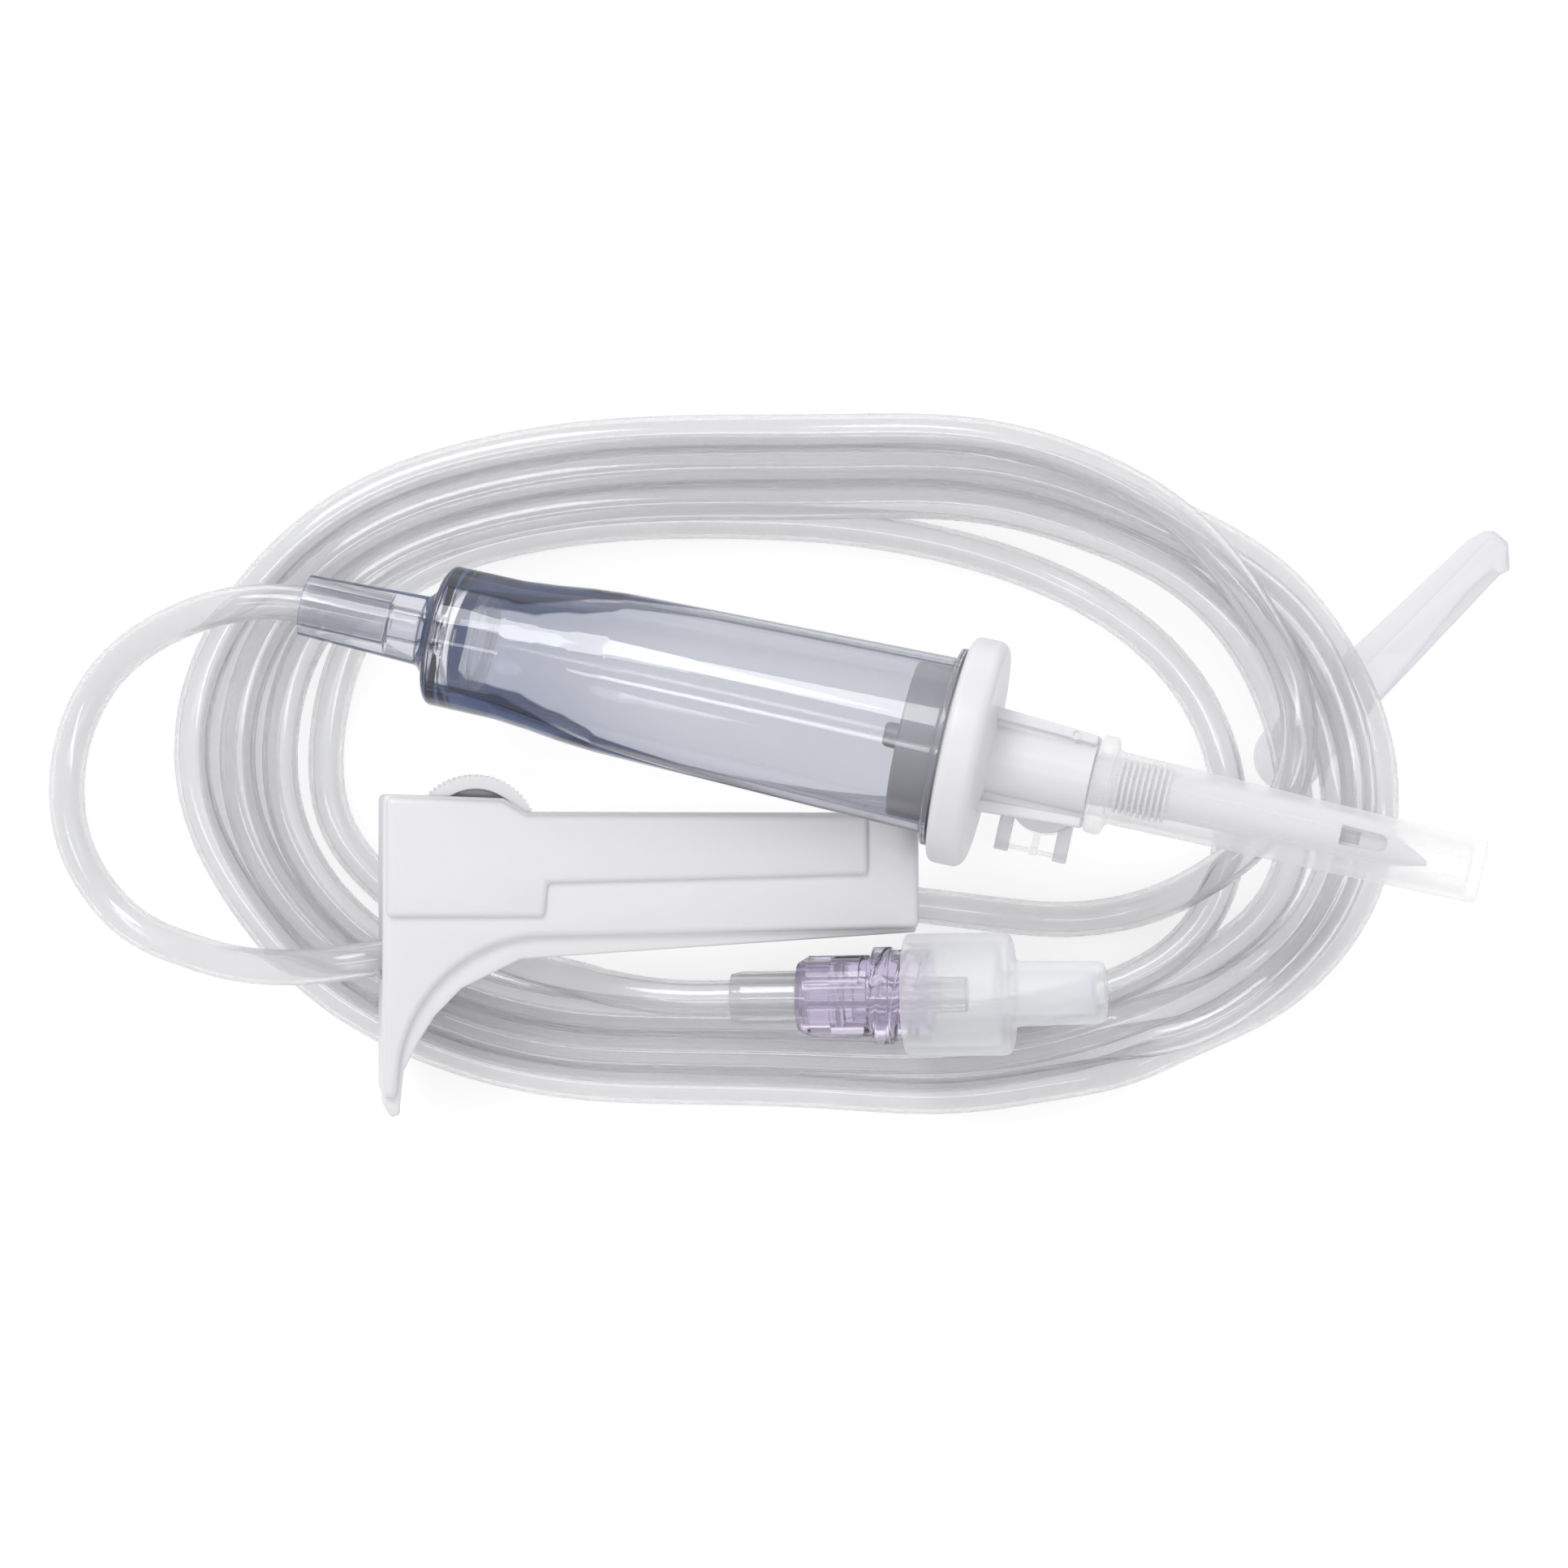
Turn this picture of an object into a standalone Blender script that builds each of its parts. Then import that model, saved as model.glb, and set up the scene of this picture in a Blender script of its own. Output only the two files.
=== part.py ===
"""Coiled infusion set: vented spike, drip chamber, roller clamp, coiled tube and capped luer end.

The set lies on a surface at z = 0. Sizes are written in millimetres and become
metres when a mesh is made. Three inclined axes carry the rigid pieces: the
spike axis, the clamp axis and the luer axis, each an empty whose +X runs along it.
"""
import math

import bmesh
import bpy
import numpy as np
from mathutils import Matrix, Vector

MM = 0.001
GAP = 0.3                      # clearance between pieces that touch

# Tube
TUBE_R = 2.05
TUBE_POINT_SPACING = 5.4

# Inclined axes: origin, turn about Z and upward slope in degrees
SPIKE_ORIGIN = (3.6, 8.3, 20.5)     # centre of the chamber mouth
SPIKE_YAW, SPIKE_PITCH = -12.6, 6.5
CAP_YAW = -13.1
CAP_OFFSET = -0.2
CLAMP_ORIGIN = (-60.2, -12.6, 14.2)  # left end, lower wall edge, middle plane
CLAMP_PITCH = -7.1
LUER_ORIGIN = (-20.3, -20.3, 10.6)   # left end of the tube socket
LUER_YAW, LUER_PITCH = 1.15, 8.5

# Drip chamber, measured back from its mouth
CHAMBER_LENGTH = 58.75
STUB_LENGTH = 16.0
STUB_R, STUB_ROOT_R, STUB_BORE_R = 3.5, 4.0, 2.4
SOCKET_DEPTH = 10.2                  # how far the tube goes into the stub
OUTLET_R = 1.5
CHAMBER_END_R, CHAMBER_END_BORE_R = 8.05, 6.1
CHAMBER_MOUTH_R, CHAMBER_MOUTH_BORE_R = 10.07, 9.2
CHAMBER_RIM_R, CHAMBER_RIM_THICKNESS = 11.3, 0.65
FILTER_SEAT = 4.0                    # fluid filter's place above the chamber's end
CHAMBER_SIDES = 40

# Spike and its grip
DISC_R = 12.925
DISC_LEFT, DISC_RIGHT = 0.7, 4.95
SKIRT_R, SKIRT_LENGTH = 8.85, 4.6
BODY_END = 16.9
BARREL_R = 4.0
SHOULDER_R = 2.9                     # root of the spike, just wider than its rings
SPIKE_R = 2.7
RING_R, RING_PITCH, RING_COUNT, RING_START = 2.85, 0.68, 9, 19.8
SPIKE_TIP = 55.3
SPIKE_SIDES = 24
WINDOW = (45.2, 50.0, 1.1)           # start, end and half width
BOSS_CENTRE = (12.0, -2.9)
BOSS_R, BOSS_BOTTOM = 4.2, -8.0
LUG_CENTRES = (8.4, 15.2)
LUG_WIDTH, LUG_TIP = 1.7, -10.3
HINGE_Y, HINGE_Z = -9.3, -7.5

# Spike cap
CAP_START, CAP_END = 17.2, 61.5

# Roller clamp
CLAMP_LENGTH = 61.0
CHANNEL_HALF, WALL_OUT, PANEL_OUT, KEEL_OUT = 3.9, 5.7, 6.5, 4.5
WHEEL_R, WHEEL_HALF = 7.2, 3.6
WHEEL_TEETH = 44
PIN_R, PIN_HALF = 1.4, 5.3
TRACK_START, TRACK_END = (10.6, 10.6), (51.0, 8.6)
HEAD_TOP, WALL_TOP = 15.6, 13.4      # upper edge at the roller's rest end and along the rest
ARM_CENTRE, ARM_R = (18.3, -17.0), 16.5

# Luer end
LUER_SIDES = 40
LUER_SOCKET_R, LUER_TIP = 3.0, 27.0
LUER_SEAT = 9.0                      # how far the tube goes into the socket
COLLAR_R, COLLAR_BORE_R, COLLAR_RING_R = 4.5, 4.0, 5.55
LUER_CAP_START, LUER_CAP_END = 20.05, 42.8
LUER_CAP_R, LUER_STEM_R = 6.975, 3.75

# Strip that lies under the coil
CLIP_HEIGHT = 3.1
CLIP_END_CENTRE, CLIP_END_R = (44.3, 7.3), 4.15

# Routes of the tube, (x, y, z) through its middle
LOOP_ROUTE = [(-73.1, 24.9, 11.4), (-79.1, 24.2, 10.3), (-84.8, 22.3, 7.6), (-89.8, 19.5, 4.6),
              (-93.8, 15.5, 2.7), (-96.4, 10.3, 2.1), (-97.5, 3.3, 2.1), (-96.6, -2.7, 2.1),
              (-93.6, -8.3, 2.3), (-89.4, -12.3, 3.5), (-83.6, -14.8, 6.0), (-77.3, -16.4, 9.1),
              (-71.5, -16.8, 11.8), (-66.6, -16.5, 13.9)]
EXIT_ROUTE = [(6.5, -10.5, 5.4), (12.2, -11.2, 4.1), (17.3, -11.6, 3.0), (20.7, -11.5, 2.5),
              (25.4, -10.8, 2.2), (30.2, -9.4, 2.1)]
TAIL_ROUTE = [(-60.5, -7.9, 2.1), (-57.9, -10.3, 2.1), (-52.5, -13.6, 2.6), (-45.9, -16.4, 3.8),
              (-39.2, -18.2, 6.0), (-31.0, -19.9, 8.8), (-25.0, -20.4, 9.9)]

# Coil: outlines seen from above, counter-clockwise, and its layers
COIL_CENTRE = (-14.2, 6.3)
COIL_STATIONS = 72
COIL_OUTER = [(56.7, 2.3), (56.0, 9.3), (51.4, 19.7), (43.2, 29.2), (32.6, 36.0), (21.9, 41.8),
              (8.5, 45.6), (-5.6, 46.3), (-20.6, 45.9), (-35.6, 44.8), (-52.4, 41.9), (-67.4, 36.0),
              (-77.3, 27.6), (-83.2, 17.8), (-85.0, 7.5), (-83.5, -1.0), (-76.8, -11.3),
              (-65.5, -21.6), (-50.9, -28.8), (-33.0, -31.8), (-13.1, -32.8), (7.5, -33.6),
              (26.2, -28.7), (39.7, -24.0), (49.3, -17.1), (54.9, -8.0)]
COIL_INNER = [(34.3, 5.0), (32.1, 11.7), (27.2, 18.4), (18.8, 24.5), (7.5, 29.0), (-5.6, 31.6),
              (-20.6, 33.2), (-32.8, 33.5), (-43.1, 32.1), (-52.4, 29.3), (-58.3, 25.9),
              (-62.3, 21.1), (-64.4, 15.0), (-65.5, 7.5), (-65.2, 0.9), (-64.0, -5.5),
              (-61.6, -10.8), (-56.2, -15.0), (-48.7, -18.4), (-39.3, -21.0), (-29.9, -22.0),
              (-14.4, -22.5), (7.5, -21.6), (21.1, -19.2), (28.6, -15.3), (32.8, -8.9), (34.7, -2.8)]
COIL_TOP, COIL_TOP_UNDER_LUER = 7.6, 6.5
COIL_EDGE_HEIGHT, COIL_CHAMFER = 2.6, 3.6


def clear_scene():
    """Remove whatever the file holds."""
    for obj in list(bpy.data.objects):
        bpy.data.objects.remove(obj, do_unlink=True)


def material(name, colour, roughness, alpha=1.0):
    """Principled material with a colour, a roughness and no metal."""
    mat = bpy.data.materials.new(name)
    mat.use_nodes = True
    shader = mat.node_tree.nodes["Principled BSDF"]
    shader.inputs["Base Color"].default_value = (*colour, 1.0)
    shader.inputs["Roughness"].default_value = roughness
    shader.inputs["Metallic"].default_value = 0.0
    shader.inputs["Alpha"].default_value = alpha
    mat.diffuse_color = (*colour, alpha)
    return mat


def axis_empty(name, origin, yaw, pitch):
    """Empty whose +X points along an inclined axis."""
    empty = bpy.data.objects.new(name, None)
    turn = Matrix.Rotation(math.radians(yaw), 4, "Z") @ Matrix.Rotation(math.radians(-pitch), 4, "Y")
    empty.matrix_world = Matrix.Translation(Vector(origin) * MM) @ turn
    bpy.context.scene.collection.objects.link(empty)
    return empty


def axis_point(origin, yaw, pitch, along, across=0.0):
    """Point in part coordinates, along and sideways from an inclined axis's origin."""
    turn = Matrix.Rotation(math.radians(yaw), 4, "Z") @ Matrix.Rotation(math.radians(-pitch), 4, "Y")
    return tuple(Vector(origin) + turn @ Vector((along, across, 0.0)))


def add_object(name, bm, mat, parent=None, smooth=35.0):
    """Turn a bmesh in millimetres into an object in metres."""
    bmesh.ops.recalc_face_normals(bm, faces=bm.faces)
    bmesh.ops.scale(bm, vec=(MM, MM, MM), verts=bm.verts)
    mesh = bpy.data.meshes.new(name)
    bm.to_mesh(mesh)
    bm.free()
    mesh.materials.append(mat)
    mesh.shade_smooth()
    mesh.set_sharp_from_angle(angle=math.radians(smooth))
    obj = bpy.data.objects.new(name, mesh)
    bpy.context.scene.collection.objects.link(obj)
    obj.parent = parent
    return obj


def turned(profile, sides, rule=None):
    """Turn (x, radius) points about X. Ends on the axis close a solid, else the profile closes.

    rule(x, radius, side) may change a point's radius on each side, for teeth and ribs.
    """
    bm = bmesh.new()
    rings = []
    for x, radius in profile:
        if radius == 0:
            rings.append([bm.verts.new((x, 0, 0))])
            continue
        ring = []
        for side in range(sides):
            angle = 2 * math.pi * side / sides
            r = rule(x, radius, side) if rule else radius
            ring.append(bm.verts.new((x, r * math.cos(angle), r * math.sin(angle))))
        rings.append(ring)
    pairs = list(zip(rings, rings[1:]))
    if profile[0][1] > 0:
        pairs.append((rings[-1], rings[0]))
    for a, b in pairs:
        for side in range(sides):
            after = (side + 1) % sides
            corners = [a[side % len(a)], a[after % len(a)], b[after % len(b)], b[side % len(b)]]
            bm.faces.new(list(dict.fromkeys(corners)))
    return bm


def prism(outline, z0, z1):
    """Extrude an (x, y) outline from z0 to z1."""
    bm = bmesh.new()
    low = [bm.verts.new((x, y, z0)) for x, y in outline]
    high = [bm.verts.new((x, y, z1)) for x, y in outline]
    bm.faces.new(low)
    bm.faces.new(high)
    for i in range(len(outline)):
        j = (i + 1) % len(outline)
        bm.faces.new((low[i], low[j], high[j], high[i]))
    return bm


def rod(radius, start, end, sides=24):
    """Closed cylinder between two points."""
    bm = bmesh.new()
    axis = Vector(end) - Vector(start)
    middle = (Vector(start) + Vector(end)) / 2
    place = Matrix.Translation(middle) @ axis.to_track_quat("Z", "Y").to_matrix().to_4x4()
    bmesh.ops.create_cone(bm, cap_ends=True, segments=sides, radius1=radius, radius2=radius,
                          depth=axis.length, matrix=place)
    return bm


def arc(centre, radius, start, end, steps):
    """Points on a circle from one angle to another, in degrees."""
    return [(centre[0] + radius * math.cos(math.radians(start + (end - start) * i / steps)),
             centre[1] + radius * math.sin(math.radians(start + (end - start) * i / steps)))
            for i in range(steps + 1)]


def combine(target, bm, operation):
    """Fuse a shape to an object or cut it away, with a Boolean on a hidden helper in the same axes."""
    name = f"{target.name}_helper_{len(target.modifiers)}"
    helper = add_object(name, bm, target.data.materials[0], target.parent)
    helper.hide_render = True
    helper.display_type = "WIRE"
    step = target.modifiers.new(f"{operation.lower()} {len(target.modifiers)}", "BOOLEAN")
    step.operation = operation
    step.solver = "EXACT"
    step.object = helper


def smooth_route(points, spacing):
    """Evenly spaced points on a natural cubic spline through a route."""
    points = np.array(points, float)
    chord = np.concatenate(([0.0], np.cumsum(np.linalg.norm(np.diff(points, axis=0), axis=1))))
    count = len(points)
    gaps = np.diff(chord)
    system = np.eye(count)
    right = np.zeros_like(points)
    for i in range(1, count - 1):
        system[i, i - 1:i + 2] = gaps[i - 1], 2 * (gaps[i - 1] + gaps[i]), gaps[i]
        right[i] = 6 * ((points[i + 1] - points[i]) / gaps[i] - (points[i] - points[i - 1]) / gaps[i - 1])
    bend = np.linalg.solve(system, right)
    steps = np.linspace(0, chord[-1], max(3, round(chord[-1] / spacing) + 1))
    span = np.clip(np.searchsorted(chord, steps, side="right") - 1, 0, count - 2)
    gap = gaps[span][:, None]
    left = (steps - chord[span])[:, None]
    rest = gap - left
    return (bend[span] * rest ** 3 + bend[span + 1] * left ** 3) / (6 * gap) \
        + (points[span] / gap - bend[span] * gap / 6) * rest \
        + (points[span + 1] / gap - bend[span + 1] * gap / 6) * left


def tube(name, points, mat):
    """Round tube along a smooth curve, as a bevelled poly curve with filled ends."""
    curve = bpy.data.curves.new(name, "CURVE")
    curve.dimensions = "3D"
    curve.bevel_depth = TUBE_R * MM
    curve.bevel_resolution = 2
    curve.use_fill_caps = True
    curve.render_resolution_u = 0
    spline = curve.splines.new("POLY")
    spline.points.add(len(points) - 1)
    for target, point in zip(spline.points, points):
        target.co = (*(np.array(point) * MM), 1.0)
    curve.materials.append(mat)
    obj = bpy.data.objects.new(name, curve)
    bpy.context.scene.collection.objects.link(obj)
    return obj


def drip_chamber(axis, mat):
    """Clear chamber with its tube socket: one moulded shell, open at both ends."""
    end = -CHAMBER_LENGTH
    stub = end - STUB_LENGTH
    mouth = DISC_LEFT - GAP - 0.05
    rim = mouth - CHAMBER_RIM_THICKNESS
    outer = [(stub, STUB_R), (end - 2.0, STUB_ROOT_R), (end - 0.9, STUB_ROOT_R + 1.2),
             (end - 0.4, CHAMBER_END_R - 0.75), (end + 0.2, CHAMBER_END_R), (end + 8.0, CHAMBER_END_R),
             (end + 12, CHAMBER_END_R + 0.35), (end + 16, CHAMBER_END_R + 0.85),
             (end + 20, CHAMBER_END_R + 1.15), (end + 30, CHAMBER_END_R + 1.4),
             (rim, CHAMBER_MOUTH_R), (rim, CHAMBER_RIM_R), (mouth, CHAMBER_RIM_R)]
    inner = [(mouth, CHAMBER_MOUTH_BORE_R), (end + 30, CHAMBER_END_BORE_R + 2.45),
             (end + 20, CHAMBER_END_BORE_R + 2.1), (end + 15, CHAMBER_END_BORE_R + 1.2),
             (end + 10, CHAMBER_END_BORE_R + 0.6), (end + 2.7, CHAMBER_END_BORE_R),
             (end + 1.5, CHAMBER_END_BORE_R - 0.9), (end + 0.6, OUTLET_R), (stub + SOCKET_DEPTH, OUTLET_R),
             (stub + SOCKET_DEPTH, STUB_BORE_R), (stub, STUB_BORE_R)]
    return add_object("drip_chamber", turned(outer + inner, CHAMBER_SIDES), mat, axis)


def filter_pieces(axis, ring_mat, membrane_mat):
    """Fluid filter at the chamber's bottom: a stepped ring and the membrane that it holds."""
    left = FILTER_SEAT - CHAMBER_LENGTH
    ring_r = CHAMBER_END_BORE_R - 0.15
    seat_r = ring_r - 1.05
    ring = [(left, seat_r - 0.9), (left, ring_r - 0.1), (left + 2, ring_r), (left + 2, seat_r),
            (left + 0.5, seat_r), (left + 0.5, seat_r - 0.9)]
    add_object("filter_ring", turned(ring, CHAMBER_SIDES), ring_mat, axis)
    near, far = left + 0.5 + GAP, left + 1.0 + GAP
    membrane = [(near, 0), (near, seat_r - GAP), (far, seat_r - GAP), (far, 0)]
    add_object("filter_membrane", turned(membrane, CHAMBER_SIDES), membrane_mat, axis)


def spike_body(axis, mat):
    """White moulding: plug, disc grip, box body with vent boss and the hollow spike."""
    disc = [(-6.7, 0), (-6.7, 1.4), (2.2, 1.7), (2.2, 7.5), (-SKIRT_LENGTH, 7.7), (-SKIRT_LENGTH, SKIRT_R),
            (DISC_LEFT, SKIRT_R), (DISC_LEFT, 11.7), (1.1, 12.5), (1.9, DISC_R), (3.7, DISC_R), (4.5, 12.5),
            (DISC_RIGHT, 11.6), (5.15, 8.0), (5.25, BARREL_R)]
    shaft = [(BODY_END, BARREL_R), (BODY_END, SHOULDER_R), (RING_START - 0.4, SPIKE_R)]
    for i in range(RING_COUNT):
        x = RING_START + i * RING_PITCH
        shaft += [(x, 2.6), (x + 0.14, RING_R), (x + 0.44, RING_R), (x + 0.54, 2.6)]
    point = [(26.4, 2.6), (45.0, 2.45), (48.5, 2.4), (50.5, 2.0), (52.5, 1.35), (54.5, 0.6),
             (SPIKE_TIP, 0.25), (SPIKE_TIP, 0)]
    bm = turned(disc + shaft + point, SPIKE_SIDES)
    for vert in bm.verts:
        lean = max(0.0, vert.co.x - 46.0) / (SPIKE_TIP - 46.0)
        vert.co.y -= 1.1 * lean ** 1.5
    body = add_object("spike_body", bm, mat, axis)
    end = BODY_END - 0.02
    combine(body, prism([(4.7, -6.3), (end, -5.6), (end, 4.9), (4.7, 5.7)], -5.2, -3.4), "UNION")
    combine(body, prism([(4.7, 4.3), (end, 3.8), (end, 4.9), (4.7, 5.7)], -4.2, 2.4), "UNION")
    combine(body, prism([(4.7, -6.3), (end, -5.6), (end, -4.4), (4.7, -4.9)], -4.2, 1.2), "UNION")
    x, y = BOSS_CENTRE
    combine(body, rod(BOSS_R, (x, y, BOSS_BOTTOM), (x, y, -4.4), 40), "UNION")
    combine(body, rod(BOSS_R - 1.0, (x, y, BOSS_BOTTOM - 1), (x, y, BOSS_BOTTOM + 1.8), 40), "DIFFERENCE")
    combine(body, rod(0.8, (-8, 0, 0.4), (47.5, 0, 0.4), 16), "DIFFERENCE")
    combine(body, rod(0.55, (x, 0, -1.35), (53.6, 0, -1.35), 12), "DIFFERENCE")
    combine(body, rod(0.6, (x, -0.6, -1.4), (x, -0.6, BOSS_BOTTOM), 12), "DIFFERENCE")
    start, stop, half = WINDOW
    window = arc((stop - half, 0), half, -90, 90, 8) + arc((start + half, 0), half, 90, 270, 8)
    combine(body, prism(window, 0.1, 4.0), "DIFFERENCE")
    return body


def vent_pieces(axis, filter_mat, lug_mat):
    """Air vent under the box body: filter disc, hinged flap cap and the two lugs that hold it."""
    x, y = BOSS_CENTRE
    disc = rod(2.85, (x, y, BOSS_BOTTOM + 0.8), (x, y, BOSS_BOTTOM + 1.5), 32)
    add_object("vent_filter", disc, filter_mat, axis)
    top, bottom = BOSS_BOTTOM - GAP, BOSS_BOTTOM - 1.3
    cap = add_object("vent_cap", rod(4.4, (x, y, bottom), (x, y, top), 32), lug_mat, axis)
    combine(cap, rod(2.6, (x, y, top - 0.3), (x, y, BOSS_BOTTOM + 0.45), 32), "UNION")
    inner_left = LUG_CENTRES[0] + LUG_WIDTH / 2
    inner_right = LUG_CENTRES[1] - LUG_WIDTH / 2
    tongue = [(inner_left + GAP, y - 3.6), (inner_left + GAP, HINGE_Y - 0.8),
              (inner_right - GAP, HINGE_Y - 0.8), (inner_right - GAP, y - 3.6)]
    combine(cap, prism(tongue, bottom, top), "UNION")
    knuckle = [(a, min(b, HINGE_Y + 0.8)) for a, b in tongue]
    combine(cap, prism(knuckle, bottom + 0.2, HINGE_Z + 0.7), "UNION")
    pin_left, pin_right = (inner_left - 1.0, HINGE_Y, HINGE_Z), (inner_right + 1.0, HINGE_Y, HINGE_Z)
    combine(cap, rod(0.5, pin_left, pin_right, 12), "UNION")
    for name, centre in zip(("vent_lug_left", "vent_lug_right"), LUG_CENTRES):
        low, high = centre - LUG_WIDTH / 2, centre + LUG_WIDTH / 2
        near = min(abs(low - x), abs(high - x))
        root = y - math.sqrt(BOSS_R ** 2 - near ** 2) - GAP
        outline = [(low, LUG_TIP), (high, LUG_TIP), (high, root), (low, root)]
        lug = add_object(name, prism(outline, HINGE_Z - 1.2, -5.2 - GAP), lug_mat, axis)
        bore = rod(0.75, (low - 1, HINGE_Y, HINGE_Z), (high + 1, HINGE_Y, HINGE_Z), 16)
        combine(lug, bore, "DIFFERENCE")


def spike_cap(axis, mat):
    """Frosted sheath over the spike, with a collar at its mouth and a rounded closed end."""
    profile = [(CAP_START, 3.6), (CAP_START, 5.6), (CAP_START + 2, 5.6), (CAP_START + 2.2, 4.175),
               (CAP_END - 0.9, 3.6), (CAP_END - 0.3, 3.2), (CAP_END, 2.5), (CAP_END, 0),
               (CAP_END - 1.4, 0), (CAP_END - 1.5, 2.2), (CAP_END - 3.0, 2.95), (30.0, 3.4)]
    profile = profile[8:] + profile[:8]
    bm = turned(profile, SPIKE_SIDES)
    return add_object("spike_cap", bm, mat, axis)


def clamp_outline():
    """Side wall of the clamp: straight top and bottom, and a hooked arm swept down at the left."""
    length, tip = CLAMP_LENGTH, ARM_CENTRE[1] - 1.5
    return ([(0, HEAD_TOP), (0, tip), (1.5, tip - 0.3)] + arc(ARM_CENTRE, ARM_R, 176.5, 93, 10)
            + [(length, 0.2), (length, WALL_TOP), (16.3, WALL_TOP + 0.1), (13.6, HEAD_TOP - 0.5)])


def clamp_body(axis, mat):
    """White clamp shell: two walls with raised panels, a keel under the tube and two pin grooves."""
    length = CLAMP_LENGTH
    panel_end, panel_top = length - 5.9, WALL_TOP - 0.2
    panel = [(0.4, 1.65), (18.3, 1.65), (18.6, 5.5), (panel_end, 6.3), (panel_end, panel_top),
             (16.2, panel_top), (13.4, HEAD_TOP - 0.8), (0.4, HEAD_TOP - 0.3)]
    keel = [(0.3, 1.5), (0.3, -19.6), (1.0, -20.9), (2.0, -20.6), (2.0, -19.7), (2.4, -15.7), (3.9, -12.7),
            (5.9, -9.5), (8.9, -6.4), (15.6, -3.1), (length - 0.2, -0.2), (length - 0.2, 1.5)]
    channel = [(-1, 20), (-1, -5.4), (1.6, -5.4), (1.6, -15.4), (2.95, -12.2), (5.0, -8.85), (8.1, -5.6),
               (15.0, -2.2), (length + 1, 0.65), (length + 1, 20)]
    groove = arc(TRACK_END, PIN_R + GAP, -90, 90, 8) + arc(TRACK_START, PIN_R + GAP, 90, 270, 8)
    body = add_object("clamp_body", prism(clamp_outline(), -WALL_OUT, WALL_OUT), mat, axis, 20)
    combine(body, prism(panel, -PANEL_OUT, PANEL_OUT), "UNION")
    combine(body, prism(keel, -KEEL_OUT, KEEL_OUT), "UNION")
    combine(body, prism(channel, -CHANNEL_HALF, CHANNEL_HALF), "DIFFERENCE")
    combine(body, prism(groove, -PIN_HALF - GAP, PIN_HALF + GAP), "DIFFERENCE")
    return body


def roller_wheel(axis, mat):
    """Toothed thumb wheel with recessed faces and a pin on each side."""
    half, web, hub = WHEEL_HALF, 1.2, 2.6
    profile = [(-PIN_HALF, 0), (-PIN_HALF, PIN_R), (-hub, PIN_R), (-hub, 2.2), (-web, 2.2), (-web, 5.5),
               (-half, 5.5), (-half, WHEEL_R), (half, WHEEL_R), (half, 5.5), (web, 5.5), (web, 2.2),
               (hub, 2.2), (hub, PIN_R), (PIN_HALF, PIN_R), (PIN_HALF, 0)]

    def teeth(x, radius, side):
        return radius - 0.25 if radius == WHEEL_R and side % 2 else radius

    wheel = add_object("roller_wheel", turned(profile, 2 * WHEEL_TEETH, teeth), mat, axis)
    wheel.location = Vector((*TRACK_START, 0)) * MM
    wheel.rotation_euler = (0, math.radians(-90), 0)
    return wheel


def tube_in_clamp_route():
    """Tube's middle inside the clamp: it rises over the hooked arm and then follows the keel."""
    local = [(0.35, -2.95), (4.0, -2.35), (8.0, -1.6), (15.0, 0.15), (30.0, 1.06), (45.0, 1.97),
             (CLAMP_LENGTH - 0.5, 2.92)]
    return [axis_point(CLAMP_ORIGIN, 0, CLAMP_PITCH, x, y) for x, y in local]


def luer_pieces(axis, clear_mat, collar_mat, cap_mat, membrane_mat):
    """Luer end: clear male connector, turning lock collar, and a cap whose stem holds a membrane."""
    flange = 12.0
    flange_r = COLLAR_BORE_R - GAP
    connector = [(0, LUER_SOCKET_R - 0.25), (0.9, LUER_SOCKET_R), (flange, LUER_SOCKET_R), (flange, flange_r),
                 (flange + 1.2, flange_r), (flange + 1.2, 2.5), (17.5, 2.2), (LUER_TIP, 1.98),
                 (LUER_TIP, 1.2), (LUER_SEAT, 1.2), (LUER_SEAT, STUB_BORE_R), (0, STUB_BORE_R)]
    add_object("luer_connector", turned(connector, 32), clear_mat, axis)
    neck_r, plain_r, thread_r = LUER_SOCKET_R + GAP + 0.05, COLLAR_R - 0.05, COLLAR_RING_R - 0.35
    inside = flange - GAP - 0.1
    collar = [(7.7, 3.9), (8.6, plain_r), (8.9, plain_r), (9.0, COLLAR_R), (15.9, COLLAR_R),
              (16.0, plain_r), (16.4, plain_r), (16.4, COLLAR_RING_R), (18.5, COLLAR_RING_R),
              (18.5, thread_r), (23.0, thread_r), (23.0, COLLAR_BORE_R), (inside, COLLAR_BORE_R),
              (inside, neck_r), (7.7, neck_r)]

    def ribs(x, radius, side):
        return radius + 0.175 if radius == COLLAR_R and side % 4 < 2 else radius

    add_object("luer_collar", turned(collar, LUER_SIDES, ribs), collar_mat, axis)
    start = LUER_CAP_START
    shoulder = start + 12.1
    bore_r = COLLAR_RING_R + GAP + 0.05
    under, lip = shoulder - 1.6, LUER_CAP_END - 1.2
    cap = [(start, bore_r), (start, LUER_CAP_R - 0.375), (start + 0.4, LUER_CAP_R),
           (shoulder - 1.0, LUER_CAP_R), (shoulder - 0.2, LUER_CAP_R - 0.475),
           (shoulder, LUER_CAP_R - 1.175), (shoulder, LUER_STEM_R), (LUER_CAP_END - 0.6, LUER_STEM_R - 0.25),
           (LUER_CAP_END, LUER_STEM_R - 0.75), (LUER_CAP_END, 1.3), (lip, 1.3),
           (lip, LUER_STEM_R - 1.35), (under, LUER_STEM_R - 1.25), (under, bore_r)]
    add_object("luer_cap", turned(cap, LUER_SIDES), cap_mat, axis)
    middle = LUER_CAP_END - 1.8
    membrane = [(middle - 0.25, 0), (middle - 0.25, 2.1), (middle + 0.25, 2.1), (middle + 0.25, 0)]
    add_object("luer_cap_membrane", turned(membrane, 24), membrane_mat, axis)


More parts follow.
